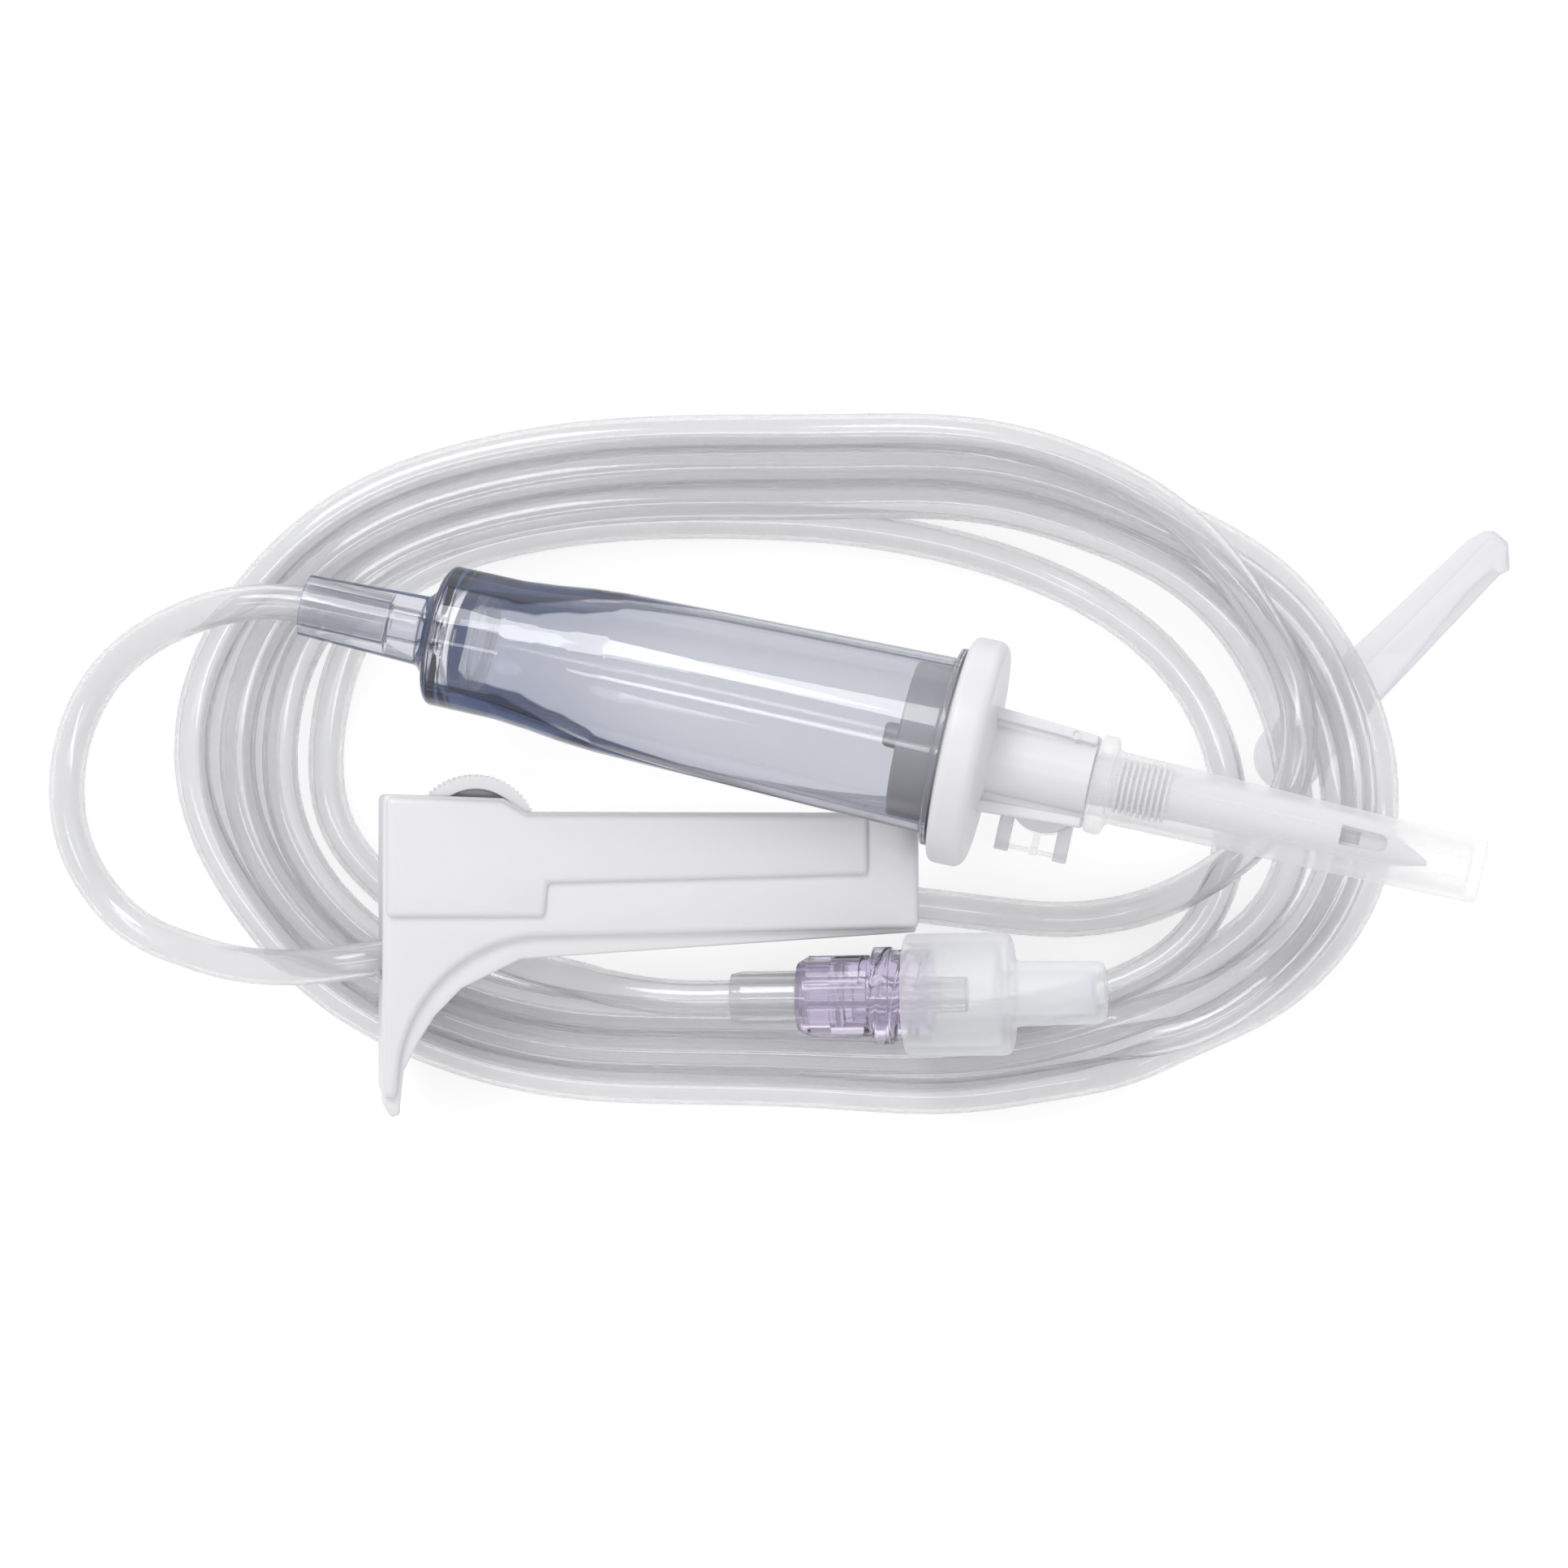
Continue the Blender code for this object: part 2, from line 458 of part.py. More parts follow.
def clip_strip(mat):
    """Thin moulded strip with a rounded foot and a hooked head, lying on the surface."""
    head = [(65.1, 32.5), (66.7, 33.4), (67.8, 33.5), (69.5, 32.1), (69.7, 28.9), (68.7, 28.3), (67.7, 28.8),
            (66.7, 28.0), (65.1, 26.6)]
    foot = arc(CLIP_END_CENTRE, CLIP_END_R, -58, -220, 14)
    return add_object("clip", prism((head + foot)[::-1], 0, CLIP_HEIGHT), mat)


def coil_outline(points, angles):
    """Distance from the coil's centre to a closed smooth outline at each angle."""
    loop = smooth_route(points[-3:] + points + points[:3], 0.5)
    x, y = loop[:, 0] - COIL_CENTRE[0], loop[:, 1] - COIL_CENTRE[1]
    return np.interp(angles, np.unwrap(np.arctan2(y, x)) + 2 * math.pi, np.hypot(x, y))


def blend(angle, start, end, ramp):
    """1 between two angles in degrees and 0 away from them, with smooth ramps outside."""
    middle, half = (start + end) / 2, (end - start) / 2
    away = abs((angle - middle + 180) % 360 - 180) - half
    t = min(1.0, max(0.0, 1 - away / ramp))
    return t * t * (3 - 2 * t)


def coil(mat):
    """Outer shape of the wound tube: one closed ring, raised where it crosses the strip."""
    angles = np.linspace(0, 2 * math.pi, COIL_STATIONS, endpoint=False)
    outer = coil_outline(COIL_OUTER, angles + 2 * math.pi)
    inner = coil_outline(COIL_INNER, angles + 2 * math.pi)
    bm = bmesh.new()
    rings = []
    for angle, r_out, r_in in zip(angles, outer, inner):
        lift = (CLIP_HEIGHT + GAP) * blend(math.degrees(angle), -6, 20, 22)
        under_luer = blend(math.degrees(angle), -108, -38, 12)
        low = 0.05 + lift
        high = COIL_TOP + lift - (COIL_TOP - COIL_TOP_UNDER_LUER) * under_luer
        edge = low + COIL_EDGE_HEIGHT
        section = [(r_in, low + 1.0), (r_in, edge), (r_in + COIL_CHAMFER, high), (r_out - COIL_CHAMFER, high),
                   (r_out, edge), (r_out, low + 1.0), (r_out - 1.0, low), (r_in + 1.0, low)]
        x, y = math.cos(angle), math.sin(angle)
        rings.append([bm.verts.new((COIL_CENTRE[0] + r * x, COIL_CENTRE[1] + r * y, z)) for r, z in section])
    for i, ring in enumerate(rings):
        after = rings[(i + 1) % len(rings)]
        for j in range(len(ring)):
            k = (j + 1) % len(ring)
            bm.faces.new((ring[j], ring[k], after[k], after[j]))
    return add_object("tube_coil", bm, mat, None, 50)


def main():
    """Make every piece of the set."""
    clear_scene()
    white = material("white_abs", (0.83, 0.83, 0.85), 0.35)
    chamber_clear = material("chamber_clear", (0.72, 0.77, 0.86), 0.08, 0.4)
    tube_clear = material("tube_clear", (0.88, 0.88, 0.90), 0.15, 0.5)
    frosted = material("frosted_cap", (0.90, 0.90, 0.92), 0.40, 0.8)
    luer_clear = material("luer_clear", (0.88, 0.88, 0.90), 0.10, 0.45)
    violet = material("violet_clear", (0.66, 0.58, 0.82), 0.15, 0.7)
    strip = material("strip_frosted", (0.86, 0.86, 0.88), 0.45, 0.85)
    membrane = material("filter_white", (0.90, 0.90, 0.90), 0.80)

    spike_axis = axis_empty("spike_axis", SPIKE_ORIGIN, SPIKE_YAW, SPIKE_PITCH)
    drip_chamber(spike_axis, chamber_clear)
    filter_pieces(spike_axis, chamber_clear, membrane)
    spike_body(spike_axis, white)
    vent_pieces(spike_axis, membrane, frosted)
    cap_origin = axis_point(SPIKE_ORIGIN, SPIKE_YAW, SPIKE_PITCH, 0, CAP_OFFSET)
    spike_cap(axis_empty("spike_cap_axis", cap_origin, CAP_YAW, SPIKE_PITCH), frosted)

    clamp_axis = axis_empty("clamp_axis", CLAMP_ORIGIN, 0, CLAMP_PITCH)
    clamp_body(clamp_axis, white)
    roller_wheel(clamp_axis, white)

    luer_axis = axis_empty("luer_axis", LUER_ORIGIN, LUER_YAW, LUER_PITCH)
    luer_pieces(luer_axis, luer_clear, violet, frosted, membrane)

    clip_strip(strip)
    coil(tube_clear)
    stub_end = CHAMBER_LENGTH + STUB_LENGTH
    socket = [axis_point(SPIKE_ORIGIN, SPIKE_YAW, SPIKE_PITCH, -d)
              for d in (stub_end - SOCKET_DEPTH + 0.4, stub_end - SOCKET_DEPTH / 2, stub_end + 0.5)]
    inlet = [axis_point(CLAMP_ORIGIN, 0, CLAMP_PITCH, x, y) for x, y in ((-2.6, -3.4), (-GAP / 2, -3.03))]
    tube("tube_loop", smooth_route(socket + LOOP_ROUTE + inlet, TUBE_POINT_SPACING), tube_clear)
    tube("tube_in_clamp", smooth_route(tube_in_clamp_route(), TUBE_POINT_SPACING), tube_clear)
    outlet = [axis_point(CLAMP_ORIGIN, 0, CLAMP_PITCH, CLAMP_LENGTH + 0.1, 2.94)]
    tube("tube_exit_run", smooth_route(outlet + EXIT_ROUTE, TUBE_POINT_SPACING), tube_clear)
    luer_socket = [axis_point(LUER_ORIGIN, LUER_YAW, LUER_PITCH, x) for x in (0, LUER_SEAT - 0.4)]
    tube("tube_tail", smooth_route(TAIL_ROUTE + luer_socket, TUBE_POINT_SPACING), tube_clear)


main()
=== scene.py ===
"""Looks of a coiled infusion set: chamber and spike, roller clamp, soft tube and capped luer end.

Sizes are in millimetres until a mesh is made, in the same axes as the CAD model.
"""
import math

import bmesh
import bpy
import numpy as np
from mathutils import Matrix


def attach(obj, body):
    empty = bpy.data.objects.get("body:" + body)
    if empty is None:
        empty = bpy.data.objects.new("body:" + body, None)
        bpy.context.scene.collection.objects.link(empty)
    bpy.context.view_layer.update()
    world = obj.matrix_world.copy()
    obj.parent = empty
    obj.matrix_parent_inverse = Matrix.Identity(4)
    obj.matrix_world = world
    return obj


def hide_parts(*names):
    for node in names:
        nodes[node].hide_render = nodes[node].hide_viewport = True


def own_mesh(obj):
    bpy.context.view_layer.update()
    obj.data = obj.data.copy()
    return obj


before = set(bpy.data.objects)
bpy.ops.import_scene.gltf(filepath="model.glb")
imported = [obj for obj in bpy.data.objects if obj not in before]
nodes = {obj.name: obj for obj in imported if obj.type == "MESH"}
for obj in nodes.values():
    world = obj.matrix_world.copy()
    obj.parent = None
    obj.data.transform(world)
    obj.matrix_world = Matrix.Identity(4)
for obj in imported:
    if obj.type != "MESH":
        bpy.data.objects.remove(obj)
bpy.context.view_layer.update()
scene = bpy.context.scene


# Camera: overhead and square to the surface, far enough away for little perspective. Lengths are turned
# from millimetres into metres where they reach Blender.

MM = 0.001
CAMERA_PLACE = (-14.4, 4.1, 600.0)
CAMERA_LENS = 118.5

lens = bpy.data.cameras.new("camera")
lens.lens = CAMERA_LENS
lens.sensor_width = 36.0
lens.clip_start = 0.01
camera = bpy.data.objects.new("camera", lens)
camera.location = [v * MM for v in CAMERA_PLACE]
scene.collection.objects.link(camera)
scene.camera = camera


# Soft tube: clear hose of 4.1 mm with a 3 mm bore. One length loops from the chamber to the clamp, a
# second lies in the clamp, and the main one winds almost six turns and ends in the luer socket.

TUBE_R, BORE_R = 2.05, 1.5
COIL_CENTRE = np.array([-14.2, 6.3])
COIL_OUTER = [(56.7, 2.3), (56.0, 9.3), (51.4, 19.7), (43.2, 29.2), (32.6, 36.0), (21.9, 41.8),
              (8.5, 45.6), (-5.6, 46.3), (-20.6, 45.9), (-35.6, 44.8), (-52.4, 41.9), (-67.4, 36.0),
              (-77.3, 27.6), (-83.2, 17.8), (-85.0, 7.5), (-83.5, -1.0), (-76.8, -11.3),
              (-65.5, -21.6), (-50.9, -28.8), (-33.0, -31.8), (-13.1, -32.8), (7.5, -33.6),
              (26.2, -28.7), (39.7, -24.0), (49.3, -17.1), (54.9, -8.0)]
COIL_INNER = [(34.3, 5.0), (32.1, 11.7), (27.2, 18.4), (18.8, 24.5), (7.5, 29.0), (-5.6, 31.6),
              (-20.6, 33.2), (-32.8, 33.5), (-43.1, 32.1), (-52.4, 29.3), (-58.3, 25.9),
              (-62.3, 21.1), (-64.4, 15.0), (-65.5, 7.5), (-65.2, 0.9), (-64.0, -5.5),
              (-61.6, -10.8), (-56.2, -15.0), (-48.7, -18.4), (-39.3, -21.0), (-29.9, -22.0),
              (-14.4, -22.5), (7.5, -21.6), (21.1, -19.2), (28.6, -15.3), (32.8, -8.9), (34.7, -2.8)]
LOOP_ROUTE = [(-73.1, 24.9, 11.4), (-79.1, 24.2, 10.3), (-84.8, 22.3, 7.6), (-89.8, 19.5, 4.6),
              (-93.8, 15.5, 2.7), (-96.4, 10.3, 2.1), (-97.5, 3.3, 2.1), (-96.6, -2.7, 2.1),
              (-93.6, -8.3, 2.3), (-89.4, -12.3, 3.5), (-83.6, -14.8, 6.0), (-77.3, -16.4, 9.1),
              (-71.5, -16.8, 11.8), (-66.6, -16.5, 13.9)]
EXIT_ROUTE = [(6.5, -10.5, 5.4), (12.2, -11.2, 4.1), (17.3, -11.6, 3.0), (20.7, -11.5, 2.5),
              (25.4, -10.8, 2.4), (30.2, -9.4, 3.6)]
CLIMB_ROUTE = [(36.2, -5.8, 7.0), (39.3, -3.2, 8.6), (43.3, 1.8, 9.4), (44.8, 7.4, 9.6), (45.0, 13.0, 9.6),
               (43.5, 19.5, 9.3), (38.9, 26.4, 9.2), (33.4, 32.0, 9.0), (29.2, 35.6, 8.4)]
TAIL_ROUTE = [(-60.5, -7.9, 2.1), (-57.9, -10.3, 2.1), (-52.5, -13.6, 2.6), (-45.9, -16.4, 3.8),
              (-39.2, -18.2, 6.0), (-31.0, -19.9, 8.8), (-25.0, -20.4, 9.9)]
LOW, HIGH = 2.1, 5.6
# Each pass of the coil by angle in degrees: how far it lies from the outer edge (0) to the inner one (1),
# and the height of its middle.
COIL_PASSES = [
    [(46, 0.0, 7.6), (66, 0.02, 6.2), (90, 0.0, HIGH), (180, 0.0, HIGH), (270, 0.0, HIGH)],
    [(0, 0.0, LOW), (30, 0.0, LOW), (45, 0.08, LOW), (66, 0.2, LOW), (90, 0.24, LOW), (180, 0.18, LOW),
     (270, 0.33, LOW)],
    [(0, 0.16, HIGH), (30, 0.14, HIGH), (45, 0.22, HIGH), (90, 0.38, HIGH), (180, 0.34, HIGH),
     (270, 0.64, HIGH), (325, 0.5, 4.0), (346, 0.24, LOW)],
    [(0, 0.28, LOW), (30, 0.28, LOW), (45, 0.36, LOW), (90, 0.58, LOW), (180, 0.5, LOW), (270, 0.92, LOW),
     (325, 0.72, LOW), (346, 0.52, LOW)],
    [(0, 0.56, LOW), (30, 0.42, HIGH), (45, 0.5, HIGH), (90, 0.74, HIGH), (180, 0.66, HIGH),
     (270, 1.2, HIGH), (325, 0.98, HIGH)],
    [(0, 0.97, LOW), (90, 1.0, LOW), (180, 0.99, LOW), (190, 0.99, LOW)]]
STRIP_LIFT, STRIP_SIDE = 3.4, 38
STRIP_TURN, STRIP_SPAN, STRIP_EASE = 7, 13, 22
COIL_START, COIL_STOP = 42, 188
ROUGH_STEP, LOOP_STEP, MAIN_STEP = 2.2, 1.5, 1.7
SETTLE_ROUNDS, SMOOTH_ROUNDS = 240, 8
CHAMBER_END = -58.75
STUB = CHAMBER_END - 16.0


def axis(origin, yaw, pitch):
    """Inclined axis as its origin and a matrix whose first column points along it."""
    y, p = math.radians(yaw), math.radians(pitch)
    turn = [[math.cos(y) * math.cos(p), -math.sin(y), -math.cos(y) * math.sin(p)],
            [math.sin(y) * math.cos(p), math.cos(y), -math.sin(y) * math.sin(p)],
            [math.sin(p), 0, math.cos(p)]]
    return np.array(origin), np.array(turn)


def placed(points, frame_axis):
    """Points along an inclined axis, in the part's axes: p = origin + M q."""
    origin, turn = frame_axis
    return np.asarray(points, float) @ turn.T + origin


SPIKE_AXIS = axis((3.6, 8.3, 20.5), -12.6, 6.5)
CAP_AXIS = axis(placed((0, -0.2, 0), SPIKE_AXIS), -13.1, 6.5)
CLAMP_AXIS = axis((-60.2, -12.6, 14.2), 0, -7.1)
LUER_AXIS = axis((-20.3, -20.3, 10.6), 1.15, 8.5)


def smooth_route(points, spacing):
    """Evenly spaced points on a natural cubic spline through a route, with chord length as parameter."""
    points = np.asarray(points, float)
    chord = np.concatenate(([0.0], np.cumsum(np.linalg.norm(np.diff(points, axis=0), axis=1))))
    count = len(points)
    gaps = np.diff(chord)
    inner = np.arange(1, count - 1)
    system = np.eye(count)
    system[inner, inner - 1] = gaps[:-1]
    system[inner, inner] = 2 * (gaps[:-1] + gaps[1:])
    system[inner, inner + 1] = gaps[1:]
    slope = np.diff(points, axis=0) / gaps[:, None]
    right = np.zeros_like(points)
    right[1:-1] = 6 * np.diff(slope, axis=0)
    bend = np.linalg.solve(system, right)
    steps = np.linspace(0, chord[-1], max(3, round(chord[-1] / spacing) + 1))
    span = np.clip(np.searchsorted(chord, steps, side="right") - 1, 0, count - 2)
    gap = gaps[span][:, None]
    left = (steps - chord[span])[:, None]
    rest = gap - left
    return (bend[span] * rest ** 3 + bend[span + 1] * left ** 3) / (6 * gap) \
        + (points[span] / gap - bend[span] * gap / 6) * rest \
        + (points[span + 1] / gap - bend[span + 1] * gap / 6) * left


def outline_radius(outline, angles):
    """Distance from the coil's centre to a smooth closed outline at each angle."""
    loop = smooth_route(outline[-3:] + outline + outline[:3], 0.5)
    x, y = loop[:, 0] - COIL_CENTRE[0], loop[:, 1] - COIL_CENTRE[1]
    turn = np.unwrap(np.arctan2(y, x)) + 2 * math.pi
    return np.interp(angles % (2 * math.pi) + 2 * math.pi, turn, np.hypot(x, y))


def step(t):
    """Smooth step: 3t^2 - 2t^3 between 0 and 1, held at both ends."""
    t = np.clip(t, 0, 1)
    return t * t * (3 - 2 * t)


def strip_lift(angles):
    """Rise of the coil by angle in degrees: in full where it crosses the strip, and eased out beside it."""
    away = np.abs((angles - STRIP_TURN + 180) % 360 - 180) - STRIP_SPAN
    return STRIP_LIFT * step(1 - away / STRIP_EASE)


def coil_winding():
    """Points of the coil: radius = outer edge less a share of its width, with share and height eased
    from each station of a pass to the next."""
    stations = np.array([(360 * turn + at, share, height) for turn, row in enumerate(COIL_PASSES)
                         for at, share, height in row])
    angles = np.arange(COIL_START, (len(COIL_PASSES) - 1) * 360 + COIL_STOP, 2.5)
    last = np.clip(np.searchsorted(stations[:, 0], angles, side="right") - 1, 0, len(stations) - 2)
    here, after = stations[last], stations[last + 1]
    ease = step((angles - here[:, 0]) / (after[:, 0] - here[:, 0]))[:, None]
    share, height = (here[:, 1:] + (after[:, 1:] - here[:, 1:]) * ease).T
    turn = np.radians(angles)
    outer = outline_radius(COIL_OUTER, turn) - TUBE_R
    inner = outline_radius(COIL_INNER, turn) + TUBE_R
    radius = outer + (inner - outer) * share
    return np.column_stack([COIL_CENTRE[0] + radius * np.cos(turn), COIL_CENTRE[1] + radius * np.sin(turn),
                            height + strip_lift(angles)])


def settle(path, free):
    """Lay the passes beside and on each other. Each round pulls every point x to its place t, takes out
    sharp bends and pushes points of different passes that are nearer than d apart:
    x += k (t - x) - 0.05 L(L(x)), then x_i += 0.45 (d - |x_i - x_j|) u_ij for all such j, where k is 0.05
    level and 0.02 in height, and L(x) is a point's two neighbours less twice itself. No point may sink
    into the surface or the strip. A last few rounds x += 0.25 L(x) smooth the route."""
    goal, spots = path.copy(), path.copy()
    index = np.arange(len(path))
    apart = np.abs(index[:, None] - index[None, :]) > 5
    space = 2 * TUBE_R + 0.04
    pull = np.array([0.05, 0.05, 0.02])
    for _ in range(SETTLE_ROUNDS):
        second = np.zeros_like(spots)
        second[1:-1] = spots[:-2] - 2 * spots[1:-1] + spots[2:]
        fourth = np.zeros_like(spots)
        fourth[1:-1] = second[:-2] - 2 * second[1:-1] + second[2:]
        moved = pull * (goal - spots) - 0.05 * fourth
        spots = spots + moved * free
        gap = spots[:, None, :] - spots[None, :, :]
        distance = np.sqrt((gap ** 2).sum(axis=2)) + 1e-9
        near = apart & (distance < space)
        push = np.where(near, 0.45 * (space - distance) / distance, 0.0)
        spots = spots + (gap * push[:, :, None]).sum(axis=1) * free
        turn = np.degrees(np.arctan2(spots[:, 1] - COIL_CENTRE[1], spots[:, 0] - COIL_CENTRE[0]))
        spots[:, 2] = np.maximum(spots[:, 2], LOW + strip_lift(turn) * (spots[:, 0] > STRIP_SIDE))
    for _ in range(SMOOTH_ROUNDS):
        spots[1:-1] += 0.25 * (spots[:-2] - 2 * spots[1:-1] + spots[2:]) * free[1:-1]
    return spots


def grid_faces(rows, cols, closed):
    """Four-sided faces of a grid whose rows are rings, with its last row joined to the first if closed."""
    i = np.arange(rows if closed else rows - 1)[:, None]
    j = np.arange(cols)[None, :]
    after, beside = (i + 1) % rows, (j + 1) % cols
    corners = [i * cols + j, i * cols + beside, after * cols + beside, after * cols + j]
    return np.stack(corners, axis=-1).reshape(-1, 4)


def tube_grid(path, sides=28):
    """Hollow tube round a path, closed at its ends. Each ring is p + r (s cos a + u sin a), with s level and
    u square to the path, and the outer rings have twice as many points as the bore's."""
    along = np.gradient(path, axis=0)
    along /= np.linalg.norm(along, axis=1)[:, None]
    side = np.cross(along, (0.0, 0.0, 1.0))
    side /= np.linalg.norm(side, axis=1)[:, None]
    up = np.cross(side, along)
    rings = []
    for radius, count in ((TUBE_R, 2 * sides), (BORE_R, sides)):
        a = 2 * math.pi * np.arange(count)[None, :, None] / count
        ring = path[:, None] + radius * (side[:, None] * np.cos(a) + up[:, None] * np.sin(a))
        rings.append(ring.reshape(-1, 3))
    first = len(rings[0])
    outer = grid_faces(len(path), 2 * sides, False)
    bore = grid_faces(len(path), sides, False)[:, ::-1] + first
    i = np.arange(sides)
    end = np.column_stack([2 * i, 2 * i + 1, (2 * i + 2) % (2 * sides), first + (i + 1) % sides, first + i])
    shift = (len(path) - 1) * sides * np.array([2, 2, 2, 1, 1])
    faces = outer.tolist() + bore.tolist() + end[:, ::-1].tolist() + (end + shift).tolist()
    return np.concatenate(rings), faces


def clean_mesh(name, points, faces):
    """Mesh from points in millimetres, with its doubles merged and its faces outwards."""
    mesh = bpy.data.meshes.new(name)
    faces = faces if isinstance(faces, list) else faces.tolist()
    mesh.from_pydata((np.asarray(points) * MM).tolist(), [], faces)
    bm = bmesh.new()
    bm.from_mesh(mesh)
    bmesh.ops.remove_doubles(bm, verts=bm.verts, dist=1e-7)
    bmesh.ops.recalc_face_normals(bm, faces=bm.faces)
    bm.to_mesh(mesh)
    bm.free()
    return mesh


def finished(name, mesh, mat, body, smooth):
    """Object that rides on a body, with its material and with edges sharp above an angle in degrees."""
    mesh.materials.append(mat)
    mesh.shade_smooth()
    mesh.set_sharp_from_angle(angle=math.radians(smooth))
    obj = bpy.data.objects.new(name, mesh)
    scene.collection.objects.link(obj)
    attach(obj, body)
    return obj


def piece(name, points, faces, mat, body, slot, smooth=35.0):
    """Piece made straight from points in millimetres."""
    return finished(name, clean_mesh(name, points, faces), mat, body, smooth)


def new_material(name):
    """Empty node material and its tree, with an output."""
    mat = bpy.data.materials.new(name)
    mat.use_nodes = True
    mat.node_tree.nodes.clear()
    out = mat.node_tree.nodes.new("ShaderNodeOutputMaterial")
    return mat, mat.node_tree, out


def set_stops(ramp, stops):
    """Colours of a colour ramp from (position, colour) pairs."""
    ramp.elements[0].position, ramp.elements[1].position = stops[0][0], stops[-1][0]
    for position, _ in stops[1:-1]:
        ramp.elements.new(position)
    for element, (_, colour) in zip(ramp.elements, stops):
        element.color = (*colour, 1)


def clear_plastic(name, tones, haze_colour, milk, roughness, ior):
    """Clear or frosted plastic that bends light. Tones are its colours by how edge on a wall is seen, from
    0 to 1, milk is the share of light that its haze scatters, faintly uneven, and it throws only a faint
    shade."""
    mat, tree, out = new_material(name)
    place = tree.nodes.new("ShaderNodeTexCoord")
    flow = tree.nodes.new("ShaderNodeTexNoise")
    flow.inputs["Scale"].default_value = 120.0
    flow.inputs["Detail"].default_value = 2.0
    tree.links.new(place.outputs["Object"], flow.inputs["Vector"])
    share = tree.nodes.new("ShaderNodeMapRange")
    share.inputs["To Min"].default_value = milk * 0.8
    share.inputs["To Max"].default_value = milk * 1.2
    tree.links.new(flow.outputs["Fac"], share.inputs["Value"])
    gloss = tree.nodes.new("ShaderNodeMapRange")
    gloss.inputs["To Min"].default_value = roughness * 0.8
    gloss.inputs["To Max"].default_value = roughness * 1.2
    tree.links.new(flow.outputs["Fac"], gloss.inputs["Value"])
    edge = tree.nodes.new("ShaderNodeLayerWeight")
    edge.inputs["Blend"].default_value = 0.5
    tone = tree.nodes.new("ShaderNodeValToRGB")
    set_stops(tone.color_ramp, tones)
    tree.links.new(edge.outputs["Facing"], tone.inputs["Fac"])
    wall = tree.nodes.new("ShaderNodeBsdfPrincipled")
    wall.inputs["IOR"].default_value = ior
    wall.inputs["Transmission Weight"].default_value = 1.0
    tree.links.new(tone.outputs["Color"], wall.inputs["Base Color"])
    tree.links.new(gloss.outputs["Result"], wall.inputs["Roughness"])
    haze = tree.nodes.new("ShaderNodeBsdfPrincipled")
    haze.inputs["Base Color"].default_value = (*haze_colour, 1)
    haze.inputs["Roughness"].default_value = 0.4
    body = tree.nodes.new("ShaderNodeMixShader")
    tree.links.new(share.outputs["Result"], body.inputs["Fac"])
    tree.links.new(wall.outputs["BSDF"], body.inputs[1])
    tree.links.new(haze.outputs["BSDF"], body.inputs[2])
    shade = tree.nodes.new("ShaderNodeBsdfTransparent")
    shade.inputs["Color"].default_value = (0.97, 0.97, 0.975, 1)
    path = tree.nodes.new("ShaderNodeLightPath")
    mix = tree.nodes.new("ShaderNodeMixShader")
    tree.links.new(path.outputs["Is Shadow Ray"], mix.inputs["Fac"])
    tree.links.new(body.outputs["Shader"], mix.inputs[1])
    tree.links.new(shade.outputs["BSDF"], mix.inputs[2])
    tree.links.new(mix.outputs["Shader"], out.inputs["Surface"])
    return mat


tube_plastic = clear_plastic("tube_plastic", [(0.45, (0.98, 0.98, 0.985)), (1.0, (0.89, 0.89, 0.925))],
                             (0.94, 0.94, 0.96), milk=0.16, roughness=0.08, ior=1.46)

socket = placed([(STUB + 9.8, 0, 0), (STUB + 5, 0, 0), (STUB - 0.5, 0, 0)], SPIKE_AXIS)
inlet = placed([(-2.6, -3.4, 0), (0.3, -2.96, 0)], CLAMP_AXIS)
loop_path = smooth_route(np.concatenate([socket, LOOP_ROUTE, inlet]), LOOP_STEP)
loop_tube = piece("loop_tube", *tube_grid(loop_path), tube_plastic, "set", "tube_clear")
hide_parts("tube_loop")

in_clamp = placed([(0.35, -2.95, 0), (4, -2.35, 0), (8, -1.6, 0), (15, 0.15, 0), (30, 1.06, 0), (45, 1.97, 0),
                   (60.5, 2.92, 0)], CLAMP_AXIS)
clamp_path = smooth_route(in_clamp, LOOP_STEP)
clamp_tube = piece("clamp_tube", *tube_grid(clamp_path), tube_plastic, "set", "tube_clear")
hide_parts("tube_in_clamp")
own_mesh(clamp_tube)

outlet = placed([(60.55, 2.93, 0)], CLAMP_AXIS)
luer_socket = placed([(0, 0, 0), (8.6, 0, 0)], LUER_AXIS)
main_route = np.concatenate([outlet, EXIT_ROUTE, CLIMB_ROUTE, coil_winding(), TAIL_ROUTE, luer_socket])
rough_path = smooth_route(main_route, ROUGH_STEP)
# The first 15 mm at the clamp and the last 24 mm at the luer socket stay where they are, and the next 25
# and 30 mm are eased in.
distance_in = np.arange(len(rough_path)) * ROUGH_STEP
free = step(distance_in / 25 - 0.6) * step(distance_in[::-1] / 30 - 0.8)
main_path = smooth_route(settle(rough_path, free[:, None]), MAIN_STEP)
main_tube = piece("main_tube", *tube_grid(main_path), tube_plastic, "set", "tube_clear")
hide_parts("tube_exit_run", "tube_coil", "tube_tail")


# Drip chamber: clear blue-tinged shell moulded in one with the socket for the tube. It is widest at its
# mouth, where a rim bears on the grip's disc, and its wall is thickest at the outlet end. Its colour carries a
# painted dark reflection: walls seen nearly edge on turn almost black, in a band that widens at the outlet
# end.

TAPER_END = CHAMBER_END + 30


